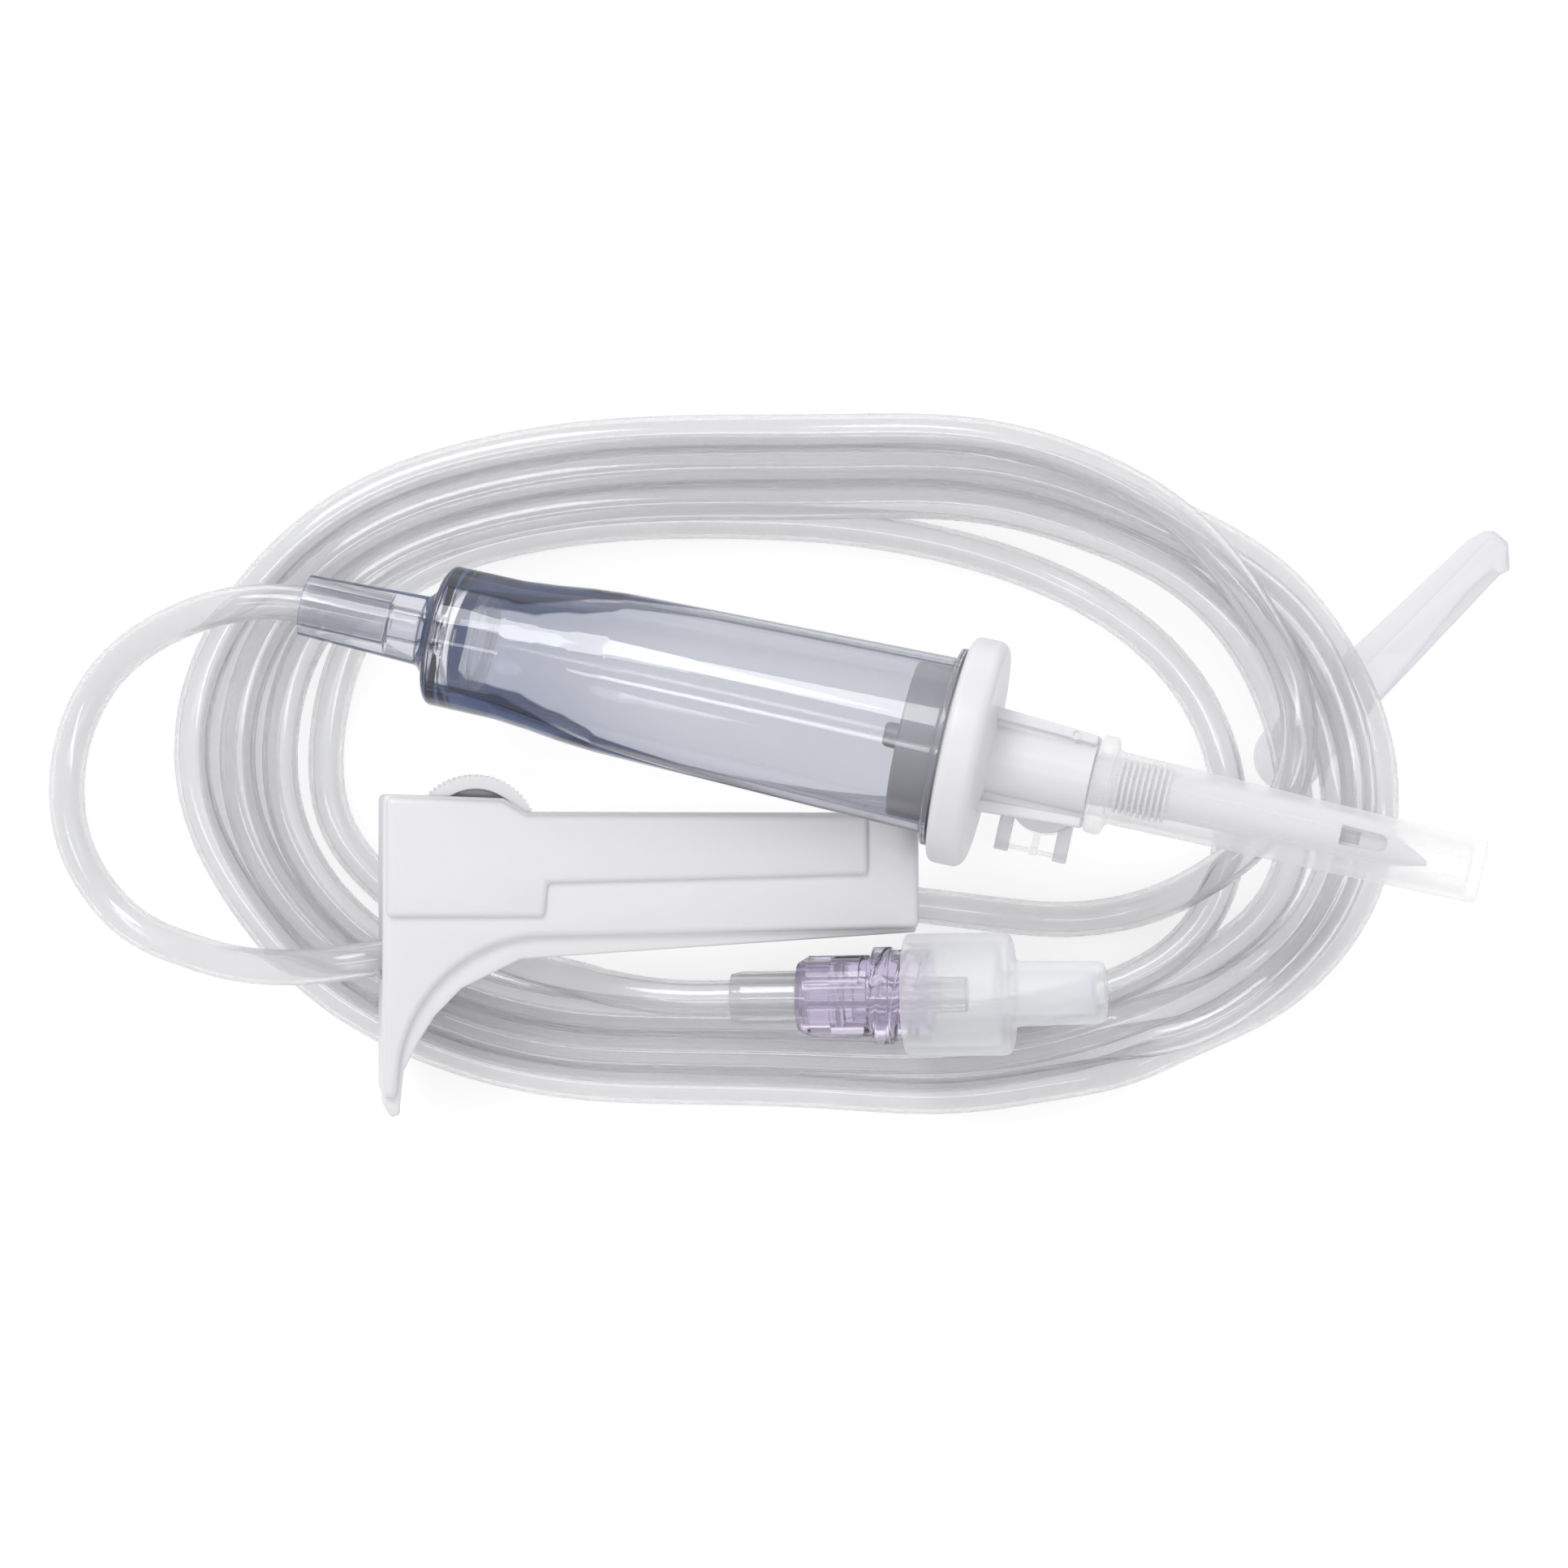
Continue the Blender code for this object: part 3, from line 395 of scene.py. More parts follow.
def rounded(profile, radius, steps=4):
    """Profile with each inner corner P replaced by a curve between the points a length t before and after
    it: (1-s)^2 A + 2 s (1-s) P + s^2 B, where t is the radius or half the shorter side."""
    points = np.asarray(profile, float)
    before, here, after = points[:-2], points[1:-1], points[2:]
    back, ahead = before - here, after - here
    back_length = np.linalg.norm(back, axis=1)[:, None]
    ahead_length = np.linalg.norm(ahead, axis=1)[:, None]
    cut = np.minimum(radius, 0.49 * np.minimum(back_length, ahead_length))
    start, stop = here + back / back_length * cut, here + ahead / ahead_length * cut
    s = np.linspace(0, 1, steps + 1)[None, :, None]
    curve = (1 - s) ** 2 * start[:, None] + 2 * s * (1 - s) * here[:, None] + s ** 2 * stop[:, None]
    return np.concatenate([points[:1], curve.reshape(-1, 2), points[-1:]])


def lathe(profile, sides=96, relief=None):
    """Grid turned about X: (x, r cos a, r sin a). Ends on the axis close it, else the profile closes.
    relief(x, r, a) gives the radius where the surface isn't round."""
    profile = np.asarray(profile, float)
    angle = np.broadcast_to(2 * math.pi * np.arange(sides) / sides, (len(profile), sides))
    x = np.broadcast_to(profile[:, :1], angle.shape)
    r = np.broadcast_to(profile[:, 1:], angle.shape)
    if relief:
        r = relief(x, r, angle)
    points = np.stack([x, r * np.cos(angle), r * np.sin(angle)], axis=-1).reshape(-1, 3)
    return points, grid_faces(len(profile), sides, profile[0, 1] > 0)


def widen_painted_dark_edge(mat, start, end, amounts):
    """Widens the painted dark reflection band at the edges of a clear plastic along a line: (share of the way
    from start to end, amount) pairs say how much is added to how edge on the wall is seen."""
    tree = mat.node_tree
    start, end = np.array(start) * MM, np.array(end) * MM
    along = (end - start) / np.linalg.norm(end - start)
    way = tree.nodes.new("ShaderNodeVectorMath")
    way.operation = "DOT_PRODUCT"
    way.inputs[1].default_value = along
    tree.links.new(tree.nodes["Texture Coordinate"].outputs["Object"], way.inputs[0])
    share = tree.nodes.new("ShaderNodeMapRange")
    share.inputs["From Min"].default_value = float(start @ along)
    share.inputs["From Max"].default_value = float(end @ along)
    tree.links.new(way.outputs["Value"], share.inputs["Value"])
    painted_dark_shift = tree.nodes.new("ShaderNodeValToRGB")
    set_stops(painted_dark_shift.color_ramp, [(at, (amount,) * 3) for at, amount in amounts])
    tree.links.new(share.outputs["Result"], painted_dark_shift.inputs["Fac"])
    both = tree.nodes.new("ShaderNodeMath")
    tree.links.new(tree.nodes["Layer Weight"].outputs["Facing"], both.inputs[0])
    tree.links.new(painted_dark_shift.outputs["Color"], both.inputs[1])
    tree.links.new(both.outputs["Value"], tree.nodes["Color Ramp"].inputs["Fac"])


# Blue tint of the chamber wall by how edge on it is seen; the last, almost black stop is a painted dark
# reflection.
chamber_tint_and_painted_dark = [(0.1, (0.81, 0.82, 0.86)), (0.5, (0.70, 0.71, 0.77)), (0.76, (0.64, 0.66, 0.74)),
                 (0.8, (0.004, 0.01, 0.05))]
chamber_plastic = clear_plastic("chamber_plastic", chamber_tint_and_painted_dark, (0.70, 0.72, 0.80),
                                milk=0.05, roughness=0.03, ior=1.5)
# Painted dark reflection: widen the almost black edge band over the thick outlet end of the wall.
widen_painted_dark_edge(chamber_plastic, placed((STUB, 0, 0), SPIKE_AXIS), placed((TAPER_END, 0, 0), SPIKE_AXIS),
         [(0.0, 0.15), (0.31, 0.2), (0.35, 0.5), (0.55, 0.52), (0.8, 0.18), (1.0, 0.0)])
chamber_outer = rounded([(STUB, 3.5), (CHAMBER_END - 2.0, 4.0), (CHAMBER_END - 0.9, 5.2),
                         (CHAMBER_END - 0.4, 7.3), (CHAMBER_END + 0.2, 8.05), (CHAMBER_END + 8.0, 8.05),
                         (CHAMBER_END + 12, 8.4), (CHAMBER_END + 16, 8.9), (CHAMBER_END + 20, 9.2),
                         (TAPER_END, 9.45), (-0.3, 10.07), (-0.3, 11.3), (0.35, 11.3)], 0.4)
chamber_inner = rounded([(0.35, 9.2), (TAPER_END, 8.55), (CHAMBER_END + 20, 8.2), (CHAMBER_END + 15, 7.3),
                         (CHAMBER_END + 10, 6.7), (CHAMBER_END + 2.7, 6.1), (CHAMBER_END + 1.5, 5.2),
                         (CHAMBER_END + 0.6, 1.5), (STUB + 10.2, 1.5), (STUB + 10.2, 2.4), (STUB, 2.4)], 0.4)
chamber_points, chamber_faces = lathe(np.concatenate([chamber_outer, chamber_inner]))
chamber = piece("chamber", placed(chamber_points, SPIKE_AXIS), chamber_faces, chamber_plastic, "set",
                "chamber_clear", 60)
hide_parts("drip_chamber")


# Fluid filter: a stepped clear ring pressed into the chamber's outlet end, with a fine membrane across
# it. Both are nearly invisible in the clear shell.

FILTER = CHAMBER_END + 4.0


def recoated(name, mat):
    """Gives a CAD node that is shown as it is another material."""
    nodes[name].data.materials.clear()
    nodes[name].data.materials.append(mat)


def milky_plastic(name, colour, clear, clear_edge, roughness):
    """Natural polypropylene: a share of the light passes straight through, less of it where the wall is
    seen edge on, and the rest scatters."""
    mat, tree, out = new_material(name)
    place = tree.nodes.new("ShaderNodeTexCoord")
    haze = tree.nodes.new("ShaderNodeTexNoise")
    haze.inputs["Scale"].default_value = 350.0
    haze.inputs["Detail"].default_value = 4.0
    tree.links.new(place.outputs["Object"], haze.inputs["Vector"])
    gloss = tree.nodes.new("ShaderNodeMapRange")
    gloss.inputs["To Min"].default_value = roughness - 0.05
    gloss.inputs["To Max"].default_value = roughness + 0.05
    tree.links.new(haze.outputs["Fac"], gloss.inputs["Value"])
    skin = tree.nodes.new("ShaderNodeBsdfPrincipled")
    skin.inputs["Base Color"].default_value = (*colour, 1)
    skin.inputs["Subsurface Weight"].default_value = 0.4
    skin.inputs["Subsurface Radius"].default_value = (1.0, 1.0, 1.0)
    skin.inputs["Subsurface Scale"].default_value = 0.0015
    tree.links.new(gloss.outputs["Result"], skin.inputs["Roughness"])
    through = tree.nodes.new("ShaderNodeBsdfTransparent")
    edge = tree.nodes.new("ShaderNodeLayerWeight")
    edge.inputs["Blend"].default_value = 0.5
    share = tree.nodes.new("ShaderNodeMapRange")
    share.inputs["To Min"].default_value = 1 - clear
    share.inputs["To Max"].default_value = 1 - clear_edge
    tree.links.new(edge.outputs["Facing"], share.inputs["Value"])
    mix = tree.nodes.new("ShaderNodeMixShader")
    tree.links.new(share.outputs["Result"], mix.inputs["Fac"])
    tree.links.new(through.outputs["BSDF"], mix.inputs[1])
    tree.links.new(skin.outputs["BSDF"], mix.inputs[2])
    tree.links.new(mix.outputs["Shader"], out.inputs["Surface"])
    return mat


filter_mesh = milky_plastic("filter_mesh", (0.85, 0.86, 0.9), clear=0.95, clear_edge=0.88, roughness=0.6)
ring_plastic = milky_plastic("ring_plastic", (0.9, 0.92, 0.97), clear=0.93, clear_edge=0.75, roughness=0.3)
ring_profile = rounded([(FILTER, 4.05), (FILTER, 5.8), (FILTER + 1.1, 5.86), (FILTER + 1.1, 5.4),
                        (FILTER + 0.5, 5.4), (FILTER + 0.5, 4.0)], 0.15, 3)
ring_points, ring_faces = lathe(ring_profile)
filter_ring = piece("outlet_filter_ring", placed(ring_points, SPIKE_AXIS), ring_faces, ring_plastic, "set",
                    "chamber_clear", 50)
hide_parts("filter_ring")
recoated("filter_membrane", filter_mesh)


# Spike: one stiff white moulding. A plug and a round disc close the chamber, a box body with two rails
# carries the vent, and the hollow spike ends in a slanted point with a side window.

DISC_PROFILE = [(-6.7, 0), (-6.7, 1.4), (2.2, 1.7), (2.2, 7.5), (-4.6, 7.7), (-4.6, 8.85), (0.7, 8.85),
                (0.7, 12.2), (1.2, 12.925), (4.2, 12.925), (4.95, 12.1), (4.95, 6.4), (5.6, 4.0)]
RING_START, RING_PITCH, RING_COUNT = 19.8, 0.68, 9
SPIKE_TIP, LEAN_START, LEAN = 55.3, 46.0, 1.1
BOX_START, BOX_END = 4.7, 16.88
VENT_X, VENT_Y, VENT_BOTTOM = 12.0, -2.9, -8.0
GATE_X, GATE_Y = 14.35, 4.5


def matt_plastic(name, colour, roughness):
    """Opaque moulded plastic: an even colour with slight clouding, and a fine eroded grain in gloss and
    bump."""
    mat, tree, out = new_material(name)
    place = tree.nodes.new("ShaderNodeTexCoord")
    grain = tree.nodes.new("ShaderNodeTexNoise")
    grain.inputs["Scale"].default_value = 5200.0
    grain.inputs["Detail"].default_value = 2.0
    cloud = tree.nodes.new("ShaderNodeTexNoise")
    cloud.inputs["Scale"].default_value = 90.0
    cloud.inputs["Detail"].default_value = 2.0
    tree.links.new(place.outputs["Object"], grain.inputs["Vector"])
    tree.links.new(place.outputs["Object"], cloud.inputs["Vector"])
    tone = tree.nodes.new("ShaderNodeValToRGB")
    tone.color_ramp.elements[0].color = (*[c * 0.975 for c in colour], 1)
    tone.color_ramp.elements[1].color = (*colour, 1)
    tree.links.new(cloud.outputs["Fac"], tone.inputs["Fac"])
    gloss = tree.nodes.new("ShaderNodeMapRange")
    gloss.inputs["To Min"].default_value = roughness - 0.06
    gloss.inputs["To Max"].default_value = roughness + 0.08
    tree.links.new(grain.outputs["Fac"], gloss.inputs["Value"])
    raised = tree.nodes.new("ShaderNodeBump")
    raised.inputs["Strength"].default_value = 0.10
    raised.inputs["Distance"].default_value = 0.0001
    tree.links.new(grain.outputs["Fac"], raised.inputs["Height"])
    skin = tree.nodes.new("ShaderNodeBsdfPrincipled")
    skin.inputs["Subsurface Weight"].default_value = 0.15
    skin.inputs["Subsurface Radius"].default_value = (1.0, 0.95, 1.0)
    skin.inputs["Subsurface Scale"].default_value = 0.0008
    tree.links.new(tone.outputs["Color"], skin.inputs["Base Color"])
    tree.links.new(gloss.outputs["Result"], skin.inputs["Roughness"])
    tree.links.new(raised.outputs["Normal"], skin.inputs["Normal"])
    tree.links.new(skin.outputs["BSDF"], out.inputs["Surface"])
    return mat


def prism(outline, low, high):
    """Closed block: an outline in X and Y carried from one height to another, with flat ends."""
    outline = np.asarray(outline, float)
    count = len(outline)
    points = np.concatenate([np.column_stack([outline, np.full(count, low)]),
                             np.column_stack([outline, np.full(count, high)])])
    i = np.arange(count)
    sides = np.column_stack([i, (i + 1) % count, (i + 1) % count + count, i + count]).tolist()
    return points, sides + [i[::-1].tolist(), (i + count).tolist()]


def arc(centre, radius, start, end, steps):
    """Points c + r (cos a, sin a) from one angle to another, in degrees."""
    a = np.radians(np.linspace(start, end, steps + 1))
    return np.column_stack([centre[0] + radius * np.cos(a), centre[1] + radius * np.sin(a)])


def solid(points, faces, place, bevel=0.0, segments=3, angle=40.0):
    """Scratch object on an inclined axis, with its sharp edges rounded by a Bevel modifier."""
    obj = bpy.data.objects.new("shape", clean_mesh("shape", placed(points, place), faces))
    scene.collection.objects.link(obj)
    if bevel:
        edge = obj.modifiers.new("edges", "BEVEL")
        edge.width = bevel * MM
        edge.segments = segments
        edge.limit_method = "ANGLE"
        edge.angle_limit = math.radians(angle)
    return obj


def block(outline, low, high, place, bevel=0.0, segments=3, angle=40.0):
    """Scratch block: a prism on an inclined axis."""
    return solid(*prism(outline, low, high), place, bevel, segments, angle)


def built(name, base, steps, mat, body, smooth=35.0):
    """Piece from a shape after fusing others to it or cutting them away, with the result applied."""
    for operation, tool in steps:
        change = base.modifiers.new(operation, "BOOLEAN")
        change.operation = operation
        change.solver = "EXACT"
        change.object = tool
    bpy.context.view_layer.update()
    final = base.evaluated_get(bpy.context.evaluated_depsgraph_get())
    mesh = bpy.data.meshes.new_from_object(final)
    for tool in [base] + [tool for _, tool in steps]:
        bpy.data.objects.remove(tool, do_unlink=True)
    mesh.name = name
    mesh.materials.clear()
    return finished(name, mesh, mat, body, smooth)


def rod(radius, start, end, sides=48):
    """Closed cylinder along X, Y or Z between two points: c + r (cos a u + sin a v)."""
    start, end = np.array(start, float), np.array(end, float)
    along = (end - start) / np.linalg.norm(end - start)
    side = np.roll(along, 1)
    up = np.cross(along, side)
    a = 2 * math.pi * np.arange(sides) / sides
    ring = radius * (np.cos(a)[:, None] * side + np.sin(a)[:, None] * up)
    points = np.concatenate([start + ring, end + ring])
    i = np.arange(sides)
    walls = np.column_stack([i, (i + 1) % sides, (i + 1) % sides + sides, i + sides]).tolist()
    return points, walls + [i[::-1].tolist(), (i + sides).tolist()]


def bar(radius, start, end, place, sides=48, bevel=0.0):
    """Scratch cylinder on an inclined axis."""
    return solid(*rod(radius, start, end, sides), place, bevel)


def vent_bar(radius, low, high, sides=48, bevel=0.0):
    """Scratch cylinder on the vent's own axis, between two heights above its mouth."""
    return bar(radius, (VENT_X, VENT_Y, VENT_BOTTOM + low), (VENT_X, VENT_Y, VENT_BOTTOM + high), SPIKE_AXIS,
               sides, bevel)


white_plastic = matt_plastic("white_plastic", (0.80, 0.795, 0.82), 0.34)
ring_rise = np.array([(0.0, 2.65), (0.12, 3.15), (0.42, 3.15), (0.54, 2.65)])
ring_at = RING_START + RING_PITCH * np.arange(RING_COUNT)
rings = (ring_rise[None] + np.stack([ring_at, 0 * ring_at], axis=-1)[:, None]).reshape(-1, 2)
shaft = [(16.9, 4.0), (16.9, 2.9), (19.4, 2.7)]
point = [(26.4, 2.6), (45.0, 2.45), (48.5, 2.4), (50.5, 2.0), (52.5, 1.35), (54.5, 0.6), (SPIKE_TIP, 0.25),
         (SPIKE_TIP, 0)]
spike_points, spike_faces = lathe(np.concatenate([rounded(DISC_PROFILE, 0.9, 5), shaft, rings, point]))
lean = np.clip((spike_points[:, 0] - LEAN_START) / (SPIKE_TIP - LEAN_START), 0, 1)
spike_points[:, 1] -= LEAN * lean ** 1.5
box_floor = [(BOX_START, -6.3), (BOX_END, -5.6), (BOX_END, 4.9), (BOX_START, 5.7)]
left_rail = [(BOX_START, 4.3), (BOX_END, 3.8), (BOX_END, 4.9), (BOX_START, 5.7)]
right_rail = [(BOX_START, -6.3), (BOX_END, -5.6), (BOX_END, -4.4), (BOX_START, -4.9)]
left_half = [(BOX_START, -0.1), (BOX_END, -0.1), (BOX_END, 3.9), (BOX_START, 4.4)]
right_half = [(BOX_START, -4.95), (BOX_END, -4.5), (BOX_END, 0.1), (BOX_START, 0.1)]
window = np.concatenate([arc((49.6, 0), 1.0, -70, 70, 8), [(45.3, 1.1), (45.3, -1.1)]])
spike_steps = [
    ("UNION", block(box_floor, -5.2, -3.4, SPIKE_AXIS, 0.4)),
    ("UNION", block(left_rail, -4.2, 2.4, SPIKE_AXIS, 0.3)),
    ("UNION", block(right_rail, -4.2, 1.2, SPIKE_AXIS, 0.3)),
    ("UNION", block(left_half, -3.5, 1.75, SPIKE_AXIS)),
    ("UNION", block(right_half, -3.5, 0.55, SPIKE_AXIS)),
    ("UNION", bar(0.6, (GATE_X, GATE_Y, 2.2), (GATE_X, GATE_Y, 2.5), SPIKE_AXIS, 24)),
    ("DIFFERENCE", bar(0.4, (GATE_X, GATE_Y, 2.3), (GATE_X, GATE_Y, 2.7), SPIKE_AXIS, 24)),
    ("UNION", vent_bar(4.2, 0, 3.6, bevel=0.3)),
    ("DIFFERENCE", vent_bar(3.2, -1, 1.8)),
    ("DIFFERENCE", bar(0.8, (-8, 0, 0.4), (47.5, 0, 0.4), SPIKE_AXIS, 24)),
    ("DIFFERENCE", bar(0.55, (VENT_X, 0, -1.35), (53.6, 0, -1.35), SPIKE_AXIS, 16)),
    ("DIFFERENCE", block(window, 0.7, 4.0, SPIKE_AXIS)),
]
spike_core = solid(spike_points, spike_faces, SPIKE_AXIS)
spike = built("spike", spike_core, spike_steps, white_plastic, "set", 32)
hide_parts("spike_body")


# Air vent under the box body: a felt disc in the boss, a flap cap that snaps over it, and two lugs that
# the flap's pin turns in. Flap and lugs are milky natural polypropylene.

HINGE_Y, HINGE_Z = -9.3, -7.5
TONGUE_START, TONGUE_END, TONGUE_BACK = VENT_X - 0.6, VENT_X + 0.2, -9.7
LUG_BACK, LUG_LOW, LUG_TOP = -9.95, -8.08, -4.9


def felt(name, colour, scale):
    """Matt fibrous sheet: one noise gives its mottling and a pressed-fibre bump."""
    mat, tree, out = new_material(name)
    place = tree.nodes.new("ShaderNodeTexCoord")
    fibre = tree.nodes.new("ShaderNodeTexNoise")
    fibre.inputs["Scale"].default_value = scale
    fibre.inputs["Detail"].default_value = 6.0
    fibre.inputs["Distortion"].default_value = 1.5
    tree.links.new(place.outputs["Object"], fibre.inputs["Vector"])
    tone = tree.nodes.new("ShaderNodeValToRGB")
    tone.color_ramp.elements[0].color = (*[c * 0.9 for c in colour], 1)
    tone.color_ramp.elements[1].color = (*colour, 1)
    tree.links.new(fibre.outputs["Fac"], tone.inputs["Fac"])
    raised = tree.nodes.new("ShaderNodeBump")
    raised.inputs["Strength"].default_value = 0.4
    raised.inputs["Distance"].default_value = 0.0002
    tree.links.new(fibre.outputs["Fac"], raised.inputs["Height"])
    skin = tree.nodes.new("ShaderNodeBsdfPrincipled")
    skin.inputs["Roughness"].default_value = 0.9
    tree.links.new(tone.outputs["Color"], skin.inputs["Base Color"])
    tree.links.new(raised.outputs["Normal"], skin.inputs["Normal"])
    tree.links.new(skin.outputs["BSDF"], out.inputs["Surface"])
    return mat


filter_felt = felt("filter_felt", (0.80, 0.82, 0.86), 3000.0)
lug_plastic = milky_plastic("lug_plastic", (0.80, 0.80, 0.83), clear=0.4, clear_edge=0.3, roughness=0.4)
flap_plastic = milky_plastic("flap_plastic", (0.88, 0.88, 0.90), clear=0.85, clear_edge=0.7, roughness=0.4)
tongue = [(TONGUE_START, TONGUE_BACK), (TONGUE_END, TONGUE_BACK), (TONGUE_END, -6.5), (TONGUE_START, -6.5)]
tongue_end = [(TONGUE_START, TONGUE_BACK), (TONGUE_END, TONGUE_BACK), (TONGUE_END, -8.9), (TONGUE_START, -8.9)]
flap_steps = [
    ("UNION", vent_bar(2.6, -0.45, 0.45)),
    ("UNION", block(tongue, VENT_BOTTOM - 1.25, VENT_BOTTOM - 0.2, SPIKE_AXIS, 0.15)),
    ("UNION", bar(0.45, (TONGUE_START, HINGE_Y, HINGE_Z), (TONGUE_END, HINGE_Y, HINGE_Z), SPIKE_AXIS, 24)),
    ("UNION", block(tongue_end, VENT_BOTTOM - 0.4, HINGE_Z, SPIKE_AXIS)),
    ("UNION", bar(0.28, (8.0, HINGE_Y, HINGE_Z), (15.2, HINGE_Y, HINGE_Z), SPIKE_AXIS, 16)),
]
flap = built("vent_flap", vent_bar(4.4, -1.3, -0.15, 64, 0.3), flap_steps, flap_plastic, "vent_cap",
             32)
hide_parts("vent_cap")
for side, low, high, root in (("left", 7.5, 8.95, -5.85), ("right", 14.25, 15.7, -5.6)):
    lug_outline = [(low, LUG_BACK), (high, LUG_BACK), (high, root), (low, root)]
    pin_hole = bar(0.36, (low - 1, HINGE_Y, HINGE_Z), (high + 1, HINGE_Y, HINGE_Z), SPIKE_AXIS, 24)
    lug = built("lug_" + side, block(lug_outline, LUG_LOW, LUG_TOP, SPIKE_AXIS, 0.12),
                [("DIFFERENCE", pin_hole)], lug_plastic, "set", 32)
    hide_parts("vent_lug_" + side)
recoated("vent_filter", filter_felt)


# Spike cap: thin frosted sheath with a thick collar at its mouth and a rounded closed end. It is pulled
# off along the spike.

CAP_START, CAP_END = 17.2, 61.5
cap_plastic = milky_plastic("cap_plastic", (0.92, 0.92, 0.94), clear=0.86, clear_edge=0.5, roughness=0.4)
cap_outer = rounded([(CAP_START, 3.6), (CAP_START, 5.6), (CAP_START + 2, 5.6), (CAP_START + 2.2, 4.175),
                     (CAP_END, 3.6), (CAP_END, 0)], 0.6, 5)
cap_inner = rounded([(CAP_END - 1.4, 0), (CAP_END - 1.4, 2.9), (30.0, 3.4), (CAP_START, 3.6)], 0.8, 5)
cap_points, cap_faces = lathe(np.concatenate([cap_inner, cap_outer[1:]]))
spike_cap = piece("spike_sheath", placed(cap_points, CAP_AXIS), cap_faces, cap_plastic, "spike_cap",
                  "frosted_cap", 40)
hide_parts("spike_cap")


# Roller clamp: white shell of two walls with raised panels and a hooked arm. A keel carries the tube, and
# a toothed wheel runs in two grooves and squeezes it.

CLAMP_LENGTH = 61.0
# Half widths across the clamp.
PANELS, WALLS, GROOVES, KEEL, CHANNEL = 6.5, 5.7, 5.6, 4.5, 3.9
WHEEL_AT, GROOVE_END, GROOVE_R = (10.6, 10.6), (51, 8.6), 1.7
WHEEL_R, WHEEL_TEETH, WHEEL_HALF = 7.2, 72, 5.3
wall_outline = np.concatenate([[(0, 15.6), (0, -18.5), (1.5, -18.8)], arc((18.3, -17), 16.5, 176.5, 93, 24),
                               [(CLAMP_LENGTH, 0.2), (CLAMP_LENGTH, 13.4), (16.3, 13.5), (13.6, 15.1)]])
panel_outline = [(0.4, 1.65), (18.3, 1.65), (18.6, 5.5), (55.1, 6.3), (55.1, 13.2), (16.2, 13.2),
                 (13.4, 14.8), (0.4, 15.3)]
keel_outline = [(0.3, 1.5), (0.3, -19.6), (1.0, -20.9), (2.0, -20.6), (2.0, -19.7), (2.4, -15.7),
                (3.9, -12.7), (5.9, -9.5), (8.9, -6.4), (15.6, -3.1), (CLAMP_LENGTH - 0.2, -0.2),
                (CLAMP_LENGTH - 0.2, 1.5)]
channel_outline = [(-1, 20), (-1, -5.4), (1.6, -5.4), (1.6, -15.4), (2.95, -12.2), (5.0, -8.85), (8.1, -5.6),
                   (15.0, -2.2), (CLAMP_LENGTH + 1, 0.65), (CLAMP_LENGTH + 1, 20)]
groove_outline = np.concatenate([arc(GROOVE_END, GROOVE_R, -90, 90, 12),
                                 arc(WHEEL_AT, GROOVE_R, 90, 270, 12)])
clamp_steps = [
    ("UNION", block(panel_outline, -PANELS, PANELS, CLAMP_AXIS, 0.75, 4)),
    ("UNION", block(keel_outline, -KEEL, KEEL, CLAMP_AXIS, 0.3)),
    ("DIFFERENCE", block(channel_outline, -CHANNEL, CHANNEL, CLAMP_AXIS)),
    ("DIFFERENCE", block(groove_outline, -GROOVES, GROOVES, CLAMP_AXIS)),
]
clamp = built("clamp", block(wall_outline, -WALLS, WALLS, CLAMP_AXIS, 1.2, 4, 50), clamp_steps, white_plastic,
              "set", 32)
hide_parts("clamp_body")

wheel_half = rounded([(0.0, 0), (0.0, 1.4), (2.7, 1.4), (2.7, 2.2), (4.1, 2.2), (4.1, 5.5), (1.7, 5.5),
                      (1.7, WHEEL_R)], 0.25, 3)


def tooth(x, r, a):
    """Rim radius less a shallow rounded valley between teeth: r - 0.3 (1 + cos(n a)) / 2 at the rim."""
    return np.where(r > WHEEL_R - 0.3, r - 0.15 * (1 + np.cos(WHEEL_TEETH * a)), r)


wheel_profile = np.concatenate([wheel_half - (WHEEL_HALF, 0), (wheel_half * (-1, 1) + (WHEEL_HALF, 0))[::-1]])
wheel_points, wheel_faces = lathe(wheel_profile, 6 * WHEEL_TEETH, tooth)
wheel_points = wheel_points[:, [1, 2, 0]] + (*WHEEL_AT, 0)
wheel = piece("thumb_wheel", placed(wheel_points, CLAMP_AXIS), wheel_faces, white_plastic, "roller_wheel",
              "white_abs", 30)
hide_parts("roller_wheel")


# Luer end: a clear male connector, a violet lock collar that turns on it, and a frosted vented cap with a
# white membrane in its stem.

LUER_CAP_START = 20.05
SHOULDER = LUER_CAP_START + 12.1
LUER_CAP_END = 42.8
RIBS_R, RIB_COUNT = 4.5, 10
THREAD_R, THREAD_START, THREAD_LEAD = 4.0, 15, 2.5
luer_plastic = clear_plastic("luer_plastic", [(0.45, (0.95, 0.95, 0.96)), (1.0, (0.75, 0.75, 0.78))],
                             (0.8, 0.8, 0.82), milk=0.14, roughness=0.10, ior=1.45)
violet_plastic = clear_plastic("violet_plastic", [(0.45, (0.85, 0.80, 0.93)), (1.0, (0.46, 0.38, 0.68))],
                               (0.72, 0.67, 0.82), milk=0.04, roughness=0.03, ior=1.45)
luer_cap_plastic = milky_plastic("luer_cap_plastic", (0.90, 0.91, 0.95),
                                 clear=0.78, clear_edge=0.4, roughness=0.4)
